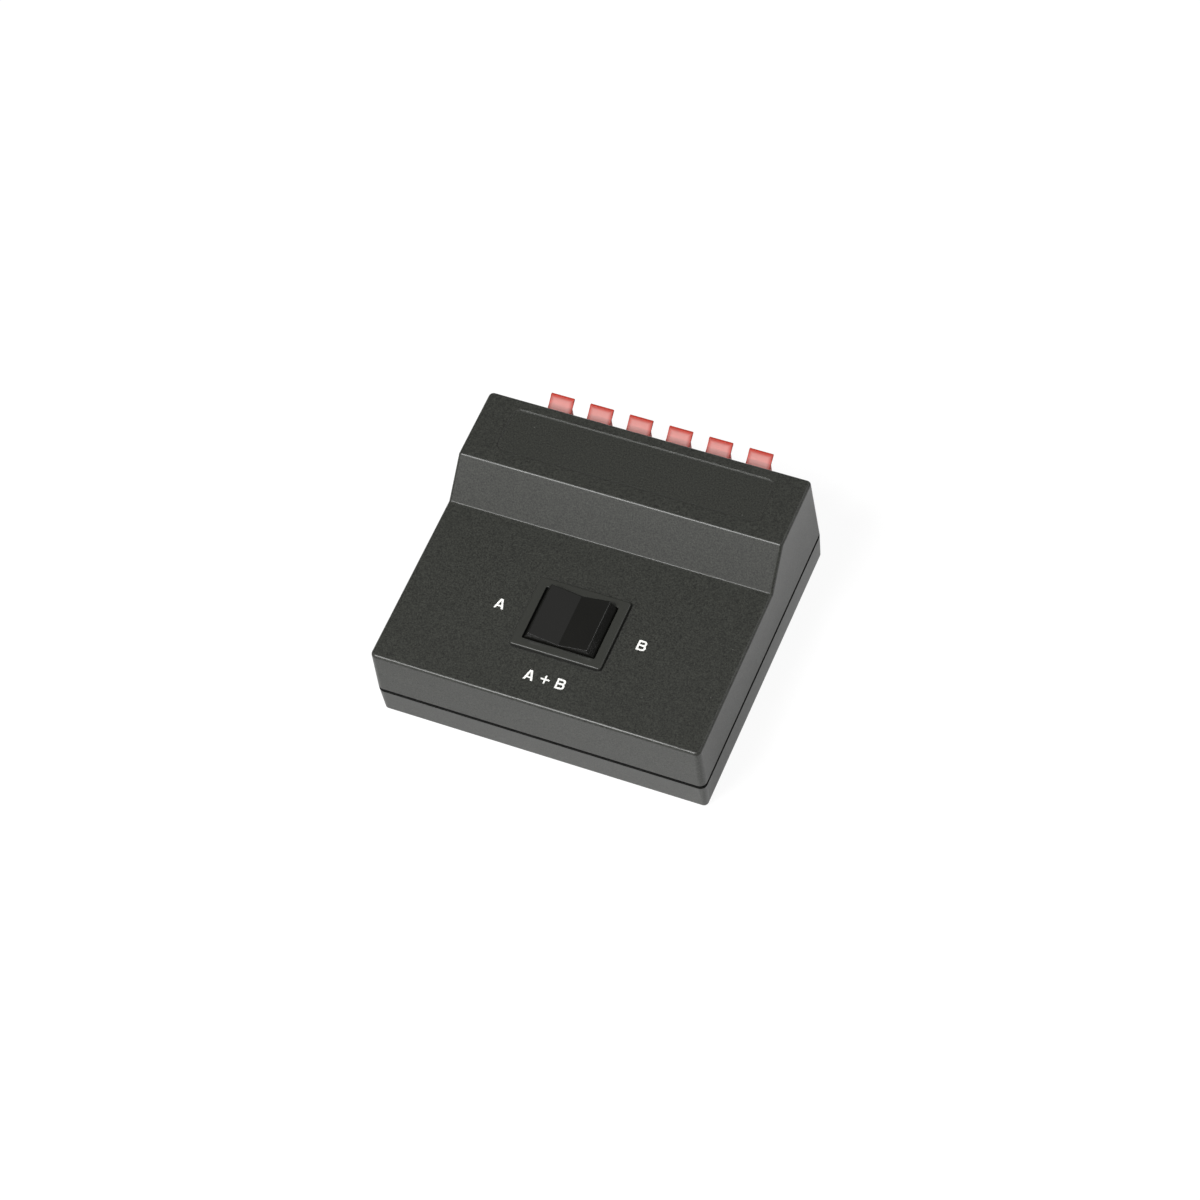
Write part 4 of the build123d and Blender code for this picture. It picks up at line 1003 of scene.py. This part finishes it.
@dataclass
class SignPlate:
    """Lays signs on a flat face as thin slabs.

    Attributes:
        origin: A point on the face.
        right: The direction in which the sign's lines are read.
        up: The direction of the sign's top.
        proud: How far the slab stands out of the face.
        sink: How far it reaches into the face, so that nothing shows between them.
    """

    origin: Place
    right: Place
    up: Place
    proud: float = 0.03 * MM
    sink: float = 0.03 * MM

    def slab(self, outlines: list[np.ndarray], shift: tuple[float, float]) -> tuple[np.ndarray, Faces]:
        """Works out one sign's slab.

        A point (u, v) of the outline goes to origin + u * right + v * up, plus or minus the
        normal times proud or sink. The two flat faces are filled with triangles, and each edge of
        an outline becomes a four-sided side face.

        Args:
            outlines: The outer outline, then its holes.
            shift: Where the sign's middle is, along right and up.

        Returns:
            The slab's points, and its faces with their corners anticlockwise from outside.
        """
        right, up = np.array(self.right), np.array(self.up)
        normal = np.cross(right, up)
        flat = np.vstack(outlines) + shift
        place = np.array(self.origin) + flat @ np.vstack([right, up])
        points = np.vstack([place + normal * self.proud, place - normal * self.sink])
        count = len(flat)
        loops = [[Vector((x, y, 0.0)) for x, y in outline] for outline in outlines]
        top = np.array(tessellate_polygon(loops))
        a, b, c = flat[top[:, 0]], flat[top[:, 1]], flat[top[:, 2]]
        area = (b - a)[:, 0] * (c - a)[:, 1] - (b - a)[:, 1] * (c - a)[:, 0]
        top[area < 0] = top[area < 0][:, ::-1]
        sides = []
        start = 0
        for outline in outlines:
            here = start + np.arange(len(outline))
            following = np.roll(here, -1)
            sides.append(np.column_stack([here, here + count, following + count, following]))
            start += len(outline)
        groups = [top, top[:, ::-1] + count, np.vstack(sides)]
        return points, [tuple(face) for group in groups for face in group.tolist()]


@dataclass
class Lettering:
    """A line of signs that is one piece.

    Attributes:
        name: The piece's name.
        plate: The face that it lies on.
        shape: Its size and weight.
        signs: Each mark with the place of its middle on the plate.
        finish: Its ink or plastic.
        slot: The record's material slot that is nearest to it.
    """

    name: str
    plate: SignPlate
    shape: SignShape
    signs: list[tuple[Mark, float, float]]
    finish: Finish
    # slot: The material slot that is nearest to it; it is not used.
    slot: str

    def build(self) -> None:
        """Joins the signs' slabs into one piece."""
        points, faces, count = [], [], 0
        for mark, along, above in self.signs:
            slab, sides = self.plate.slab(self.shape.outlines(mark), (along, above))
            faces += [tuple(count + corner for corner in side) for side in sides]
            points.append(slab)
            count += len(slab)
        add_piece(self.name, np.vstack(points), faces, self.finish)


# ---------------------------------------------------------------- sub-assemblies
@dataclass
class Assembly:
    """Some of the frame's solids, to be dressed and added to.

    Attributes:
        nodes: The frame's solids by name.
    """

    nodes: dict[str, bpy.types.Object]

    def coat(self, finish: Finish, *names: str) -> None:
        """Gives each named solid a finish, in place of the plain one that it came with."""
        for name in names:
            slots = self.nodes[name].data.materials
            slots.clear()
            slots.append(finish.material())
            log.info("%s: %s", name, finish.name)


@dataclass
class Housing(Assembly):
    """The cover, the tray under it, their screws and the feet.

    Attributes:
        frame_height: How far the switch's frame stands out of the deck.
        letter_height: Cap height of the deck's marks.
        letter_stroke: Stroke of the deck's marks.
        mark_offset: How far A and B stand from the middle.
        mark_gap: How far apart the marks of A + B are.
        mark_shift: How far to the right of the middle A + B stands.
        front_margin: How far behind the cover's front A + B stands.
    """

    frame_height: float = 1.25 * MM
    letter_height: float = 3.7 * MM
    letter_stroke: float = 0.64 * MM
    mark_offset: float = 24.1 * MM
    mark_gap: float = 5.25 * MM
    mark_shift: float = 0.3 * MM
    front_margin: float = 10.5 * MM

    def dress(self) -> None:
        """Gives the housing's solids their finishes."""
        self.coat(HOUSING_GREY, "top_cover", "base_tray")
        self.coat(ZINC_STEEL, "cover_screws")
        self.coat(RUBBER_BLACK, "rubber_feet")

    def build_marks(self) -> None:
        """Prints A to the left of the switch, B to its right, and A + B in front of it."""
        low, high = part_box("switch_body")
        middle = (low.y + high.y) / 2
        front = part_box("top_cover")[0].y + self.front_margin
        plate = SignPlate((0.0, 0.0, high.z - self.frame_height), (1.0, 0.0, 0.0), (0.0, 1.0, 0.0))
        shape = SignShape(self.letter_height, self.letter_stroke)
        lines = {
            "mark_left": [(Mark.A, -self.mark_offset, middle)],
            "mark_right": [(Mark.B, self.mark_offset, middle)],
            "mark_both": [
                (Mark.A, self.mark_shift - self.mark_gap, front),
                (Mark.PLUS, self.mark_shift, front),
                (Mark.B, self.mark_shift + self.mark_gap, front),
            ],
        }
        for name, signs in lines.items():
            Lettering(name, plate, shape, signs, PRINT_WHITE, "carriage_white").build()


@dataclass
class RockerSwitch(Assembly):
    """The rocker switch and what is inside it."""

    def dress(self) -> None:
        """Gives the switch's solids their finishes."""
        self.coat(FRAME_GREY, "switch_body")
        self.coat(ROCKER_BLACK, "rocker")
        self.coat(BLOCK_BLACK, "switch_base")
        self.coat(ACETAL_WHITE, "slide_carriage")
        self.coat(SPRING_BRONZE, "detent_spring")
        self.coat(CONTACT_BRASS, "contact_bridge_front", "contact_bridge_rear")
        self.coat(CONTACT_BRASS, "switch_lugs_a", "switch_lugs_common", "switch_lugs_b")


@dataclass
class ClampRows(Assembly):
    """The terminal block with its two rows of levers and springs.

    Attributes:
        trunnion_reach: How far a lever's trunnions stand out of its sides.
        flange: The y of the flange's back face.
        sign_offset: How far the raised signs stand from the middle.
        sign_height: Cap height of the raised signs.
        sign_stroke: Stroke of the raised signs.
        sign_proud: How far they stand out of the flange.
    """

    trunnion_reach: float = 1.2 * MM
    flange: float = 46.55 * MM
    sign_offset: float = 44.45 * MM
    sign_height: float = 3.6 * MM
    sign_stroke: float = 0.8 * MM
    sign_proud: float = 0.25 * MM

    def dress(self) -> None:
        """Gives the clamps' solids their finishes."""
        self.coat(BLOCK_BLACK, "terminal_block")
        self.coat(BOARD_BROWN, "terminal_back_plate")
        self.coat(ZINC_STEEL, "terminal_block_screws", "back_plate_screws")
        for colour, plastic in (("red", self.red_plastic()), ("black", LEVER_BLACK)):
            numbers = range(1, COLUMNS + 1)
            self.coat(plastic, *(f"lever_{colour}_{n}" for n in numbers))
            self.coat(SPRING_BRONZE, *(f"clamp_spring_{colour}_{n}" for n in numbers))

    def build_signs(self) -> None:
        """Moulds a raised plus beside the red row and a minus beside the black one, at both ends."""
        plate = SignPlate((0.0, self.flange, 0.0), (-1.0, 0.0, 0.0), (0.0, 0.0, 1.0), self.sign_proud)
        shape = SignShape(self.sign_height, self.sign_stroke)
        rows = {"red": ("sign_plus", Mark.PLUS), "black": ("sign_minus", Mark.MINUS)}
        for colour, (name, mark) in rows.items():
            low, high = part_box(f"lever_{colour}_1")
            signs = [(mark, side * self.sign_offset, (low.z + high.z) / 2) for side in (-1, 1)]
            Lettering(name, plate, shape, signs, BLOCK_BLACK, "block_black").build()

    def red_plastic(self) -> TintedPlastic:
        """Returns the red levers' finish, fitted to their row."""
        low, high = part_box("lever_red_1")
        centre = (low.x + high.x) / 2
        return TintedPlastic(
            "lever_clear_red",
            paint(221, 151, 144),
            0.5,
            # The deep and rim colours are painted: a deeper red on the tabs' sides and tip, and dark
            # red shade on their edges.
            deep=paint(196, 58, 38),
            rim=paint(120, 20, 14),
            centre=centre,
            pitch=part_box("lever_red_2")[0].x - low.x,
            half_width=high.x - centre - self.trunnion_reach,
            tip=high.y,
        )


@dataclass(frozen=True)
class SolderDrop:
    """The solder that holds a wire's end: an egg along y with the wire coming out of it.

    Attributes:
        place: Where the wire ends.
        way: 1 where the wire leaves to the back, -1 where it leaves to the front.
        radius: The egg's greatest radius.
        over_wire: How far it reaches along the wire.
        over_tag: How far it reaches over the tag that the wire is soldered to.
        rings: Rows of points between its two poles.
        sides: Points in a row.
    """

    place: Place
    way: int
    radius: float = 1.15 * MM
    over_wire: float = 1.9 * MM
    over_tag: float = 0.9 * MM
    rings: int = 11
    sides: int = 20

    def surface(self) -> tuple[np.ndarray, np.ndarray]:
        """Works out the egg.

        With t from 0 to 1 and turn from 0 to a full circle, a point is half * (1 - cos(pi t)) -
        over_tag along the wire, and radius * sin(pi t) ** 0.8 away from its line, at the turn. The
        rows at t = 0 and 1 are one point each.

        Returns:
            The points, and the faces as rows of four vertex numbers, the last repeated at a pole.
        """
        t = np.linspace(0.0, 1.0, self.rings + 2)[1:-1, None]
        turn = np.linspace(0.0, 2 * np.pi, self.sides, endpoint=False)[None, :]
        half = (self.over_wire + self.over_tag) / 2
        along = half * (1 - np.cos(np.pi * t)) - self.over_tag + 0 * turn
        away = self.radius * np.sin(np.pi * t) ** 0.8
        belt = [away * np.cos(turn), self.way * along, -self.way * away * np.sin(turn)]
        poles = [[0.0, -self.way * self.over_tag, 0.0], [0.0, self.way * self.over_wire, 0.0]]
        points = np.vstack([np.stack(belt, axis=-1).reshape(-1, 3), poles]) + self.place
        here = np.arange(self.rings * self.sides).reshape(self.rings, self.sides)
        following = np.roll(here, -1, axis=1)
        first = np.full(self.sides, here.size)
        last = first + 1
        strips = [
            np.stack([here[:-1], following[:-1], following[1:], here[1:]], axis=-1).reshape(-1, 4),
            np.stack([following[0], here[0], first, first], axis=-1),
            np.stack([here[-1], following[-1], last, last], axis=-1),
        ]
        return points, np.vstack(strips)


@dataclass
class Wiring(Assembly):
    """The insulated wires inside the housing, and their soldered ends.

    Attributes:
        joint_height: How far above a lug's tip its wire is soldered.
        black_tails: The z of the black row's solder tails.
        red_tails: The z of the red row's solder tails.
        jumper_spread: How far a jumper's end is from the middle of its tail.
        jumper_span: How many columns a jumper runs along.
    """

    joint_height: float = 2.5 * MM
    black_tails: float = 15.3 * MM
    red_tails: float = 26.1 * MM
    jumper_spread: float = 1.3 * MM
    jumper_span: int = 2

    def dress(self) -> None:
        """Gives each wire the colour of its channel."""
        for side, sleeve in (("left", WIRE_WHITE), ("right", WIRE_RED)):
            self.coat(sleeve, *(f"wire_{pair}_{side}" for pair in ("a", "amp", "b")))
            self.coat(WIRE_BLACK, f"jumper_{side}_a", f"jumper_{side}_b")

    def lug_drops(self) -> list[SolderDrop]:
        """Returns the drops at the outward edges of the switch's six lugs."""
        drops = []
        for pair in ("a", "common", "b"):
            low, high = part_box(f"switch_lugs_{pair}")
            middle, height = (low.x + high.x) / 2, low.z + self.joint_height
            drops += [SolderDrop((middle, low.y, height), -1), SolderDrop((middle, high.y, height), 1)]
        return drops

    def tail_drops(self) -> list[SolderDrop]:
        """Returns the drops at the clamps' tails: one wire on each red one, jumpers on the black."""
        drops = []
        for number in range(1, COLUMNS + 1):
            low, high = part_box(f"clamp_spring_red_{number}")
            middle = (low.x + high.x) / 2
            drops.append(SolderDrop((middle, low.y, self.red_tails), -1))
            if number <= COLUMNS - self.jumper_span:
                drops.append(SolderDrop((middle + self.jumper_spread, low.y, self.black_tails), -1))
            if number > self.jumper_span:
                drops.append(SolderDrop((middle - self.jumper_spread, low.y, self.black_tails), -1))
        return drops

    def build_solder(self) -> None:
        """Joins the drops into one piece for the lugs and one for the tails."""
        for name, drops in (("solder_lugs", self.lug_drops()), ("solder_tails", self.tail_drops())):
            surfaces = [drop.surface() for drop in drops]
            count = len(surfaces[0][0])
            points = np.vstack([points for points, _ in surfaces])
            rows = np.vstack([faces + count * number for number, (_, faces) in enumerate(surfaces)])
            faces = [tuple(row[:3] if row[2] == row[3] else row) for row in rows.tolist()]
            piece = add_piece(name, points, faces, SOLDER)
            piece.data.polygons.foreach_set("use_smooth", np.ones(len(faces), dtype=bool))


# ---------------------------------------------------------------- studio
@dataclass(frozen=True)
class SoftLamp:
    """A soft box that looks at the object.

    Attributes:
        name: The lamp's name.
        azimuth: Where it stands, from the front (0) to the right (90).
        elevation: How high it stands, above the floor.
        distance: How far it is from the object.
        width: The box's width.
        height: The box's height.
        power: Its power in watts.
    """

    name: str
    azimuth: float
    elevation: float
    distance: float
    width: float
    height: float
    power: float

    def build(self, target: Vector) -> None:
        """Hangs the lamp and turns it to the target."""
        turn, rise = math.radians(self.azimuth), math.radians(self.elevation)
        out = math.cos(rise)
        way = Vector((math.sin(turn) * out, -math.cos(turn) * out, math.sin(rise)))
        light = bpy.data.lights.new(self.name, "AREA")
        light.shape = "RECTANGLE"
        light.size, light.size_y = self.width, self.height
        light.energy = self.power
        lamp = bpy.data.objects.new(self.name, light)
        lamp.location = target + way * self.distance
        lamp.rotation_euler = (-way).to_track_quat("-Z", "Y").to_euler()
        bpy.context.scene.collection.objects.link(lamp)
        log.info("%s: %.1f W", self.name, self.power)


@dataclass(frozen=True)
class Floor:
    """A pale floor that reads as white and keeps the object's shadow.

    Its material is diffuse paper with a glow. The eye, and what passes clear plastic, sees
    eye_glow and a diffuse eye_share near the object, and plain white far off. A mirror ray sees a
    diffuse mirror_share, and a painted glow that rises to the right and the back, with a painted
    shadow beside the object: mirror_share * (1 + slope * (x + y)) - shade. All other rays see
    diffuse paper.

    Attributes:
        size: Side of the floor.
        near: How far from the object it begins to turn plain white.
        far: Where it is plain white.
        eye_glow: How much it glows to the eye.
        eye_share: How much of the light and shadow on it the eye sees.
        mirror_share: The same for a mirror ray, and its glow at the origin.
        slope: How fast that painted glow rises, per metre.
        shade: How much darker the painted shadow beside the object makes it.
        shade_from: The x at which the shade sets in.
        shade_to: The x from which it is whole.
        paper: How pale the floor is to all other rays.
    """

    size: float = 8.0
    near: float = 0.2
    far: float = 0.7
    eye_glow: float = 0.92
    eye_share: float = 0.12
    mirror_share: float = 0.54
    slope: float = 3.0
    shade: float = 0.27
    shade_from: float = 50 * MM
    shade_to: float = 65 * MM
    paper: float = 0.8

    def build(self) -> None:
        """Lays the floor, which isn't part of the object."""
        half = self.size / 2
        mesh = bpy.data.meshes.new("floor")
        corners = [(-half, -half, 0.0), (half, -half, 0.0), (half, half, 0.0), (-half, half, 0.0)]
        mesh.from_pydata(corners, [], [(0, 1, 2, 3)])
        floor = bpy.data.objects.new("floor", mesh)
        bpy.context.scene.collection.objects.link(floor)
        floor.data.materials.append(self.material())
        floor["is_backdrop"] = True

    def material(self) -> bpy.types.Material:
        """Writes the floor's material."""
        made = bpy.data.materials.new("floor_paper")
        made.use_nodes = True
        sheet = Sheet(made.node_tree)
        rays = sheet.add("ShaderNodeLightPath").outputs
        camera, passed, mirror = (
            Flow(sheet, rays[f"Is {kind} Ray"]) for kind in ("Camera", "Transmission", "Glossy")
        )
        eye = sheet.math("MAXIMUM", camera, passed)
        seen = sheet.math("MAXIMUM", eye, mirror)
        where = sheet.value("ShaderNodeTexCoord", output="Object")
        x, y, _ = sheet.split(where)
        far = sheet.vector("LENGTH", where, output="Value").ramp(self.near, self.far)
        near = 1.0 - far
        # A painted shadow beside the object and a painted pool of light, which only mirror rays see.
        shade = x.ramp(self.shade_from, self.shade_to) * self.shade
        painted_mirror_glow = ((x + y) * self.slope + 1.0) * self.mirror_share - shade
        glow = (eye * self.eye_glow + mirror * painted_mirror_glow) * near + seen * far
        share = (eye * self.eye_share + mirror * self.mirror_share) * near
        pale = sheet.grey(share + (1.0 - seen) * self.paper)
        paper = sheet.value("ShaderNodeBsdfDiffuse", {"Color": pale})
        light = sheet.value("ShaderNodeEmission", {"Color": WHITE, "Strength": glow})
        both = sheet.value("ShaderNodeAddShader", {0: paper, 1: light})
        sheet.add("ShaderNodeOutputMaterial", {"Surface": both})
        return made


@dataclass(frozen=True)
class Surroundings:
    """What is round the object: white to the camera, and to everything else a dim room with a
    paler ceiling to the right, room + ceiling * rise of z + lean * x.

    Attributes:
        room: Brightness of the room.
        ceiling: What the ceiling adds to it.
        lean: How far the ceiling is turned to the right.
        low: The height at which the ceiling begins.
        high: The height from which it is at its brightest.
    """

    room: float = 0.14
    ceiling: float = 0.38
    lean: float = 0.5
    low: float = 0.58
    high: float = 0.8

    def build(self) -> None:
        """Writes the world."""
        world = bpy.data.worlds.new("studio")
        bpy.context.scene.world = world
        world.use_nodes = True
        sheet = Sheet(world.node_tree)
        x, _, z = sheet.split(sheet.value("ShaderNodeTexCoord", output="Generated"))
        strength = (x * self.lean + z).ramp(self.low, self.high) * self.ceiling + self.room
        room = sheet.value("ShaderNodeBackground", {"Strength": strength})
        white = sheet.value("ShaderNodeBackground", {"Color": WHITE})
        camera = sheet.value("ShaderNodeLightPath", output="Is Camera Ray")
        seen = sheet.value("ShaderNodeMixShader", {0: camera, 1: room, 2: white})
        sheet.add("ShaderNodeOutputWorld", {"Surface": seen})


@dataclass(frozen=True)
class Viewpoint:
    """Where the camera stands and how it is turned.

    Attributes:
        place: Its position in the row frame.
        heading: How far it looks to the left of straight back.
        dip: How far it looks down.
        roll: How far it is turned clockwise about its own line of sight.
        lens: Focal length in millimetres.
        sensor: Width of the square sensor in millimetres.
        clip: The nearest and the furthest that it sees.
    """

    place: Place = (0.34924, -0.55861, 1.01168)
    heading: float = 32.15
    dip: float = 56.58
    roll: float = 11.24
    lens: float = 112.83
    sensor: float = 36.0
    clip: tuple[float, float] = (0.05, 50.0)

    def build(self) -> None:
        """Makes the camera and sets it as the scene's."""
        turn, fall = math.radians(self.heading), math.radians(self.dip)
        out = math.cos(fall)
        ahead = Vector((-math.sin(turn) * out, math.cos(turn) * out, -math.sin(fall)))
        level = ahead.cross(Vector((0.0, 0.0, 1.0))).normalized()
        upright = level.cross(ahead)
        lean = math.radians(self.roll)
        right = level * math.cos(lean) - upright * math.sin(lean)
        up = right.cross(ahead)
        data = bpy.data.cameras.new("camera")
        data.lens, data.sensor_width = self.lens, self.sensor
        data.clip_start, data.clip_end = self.clip
        camera = bpy.data.objects.new("camera", data)
        turned = Matrix((right, up, -ahead)).transposed().to_4x4()
        camera.matrix_world = Matrix.Translation(Vector(self.place)) @ turned
        bpy.context.scene.collection.objects.link(camera)
        bpy.context.scene.camera = camera


@dataclass
class Studio:
    """The floor, the surroundings, the lamps and the camera."""

    lamps: list[SoftLamp] = field(
        default_factory=lambda: [
            SoftLamp("key", -30.0, 56.0, 1.3, 0.5, 0.42, 17.0),
            SoftLamp("front", -22.0, 27.0, 1.4, 1.0, 0.7, 1.85),
            SoftLamp("side", 129.0, 45.0, 1.4, 0.3, 0.3, 1.5),
        ]
    )

    def build(self) -> None:
        """Sets up the whole studio."""
        Floor().build()
        Surroundings().build()
        low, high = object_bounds()
        for lamp in self.lamps:
            lamp.build((low + high) / 2)
        Viewpoint().build()
        bpy.context.scene.view_settings.view_transform = "Standard"


def main() -> None:
    """Dresses the frame, piece by piece, and sets up the studio round it."""
    logging.basicConfig(level=logging.INFO, format="%(name)s: %(message)s")
    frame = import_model()
    nodes = frame["nodes"]
    housing = Housing(nodes)
    housing.dress()
    housing.build_marks()
    RockerSwitch(nodes).dress()
    clamps = ClampRows(nodes)
    clamps.dress()
    clamps.build_signs()
    wiring = Wiring(nodes)
    wiring.dress()
    wiring.build_solder()
    Studio().build()


if __name__ == "__main__":
    main()
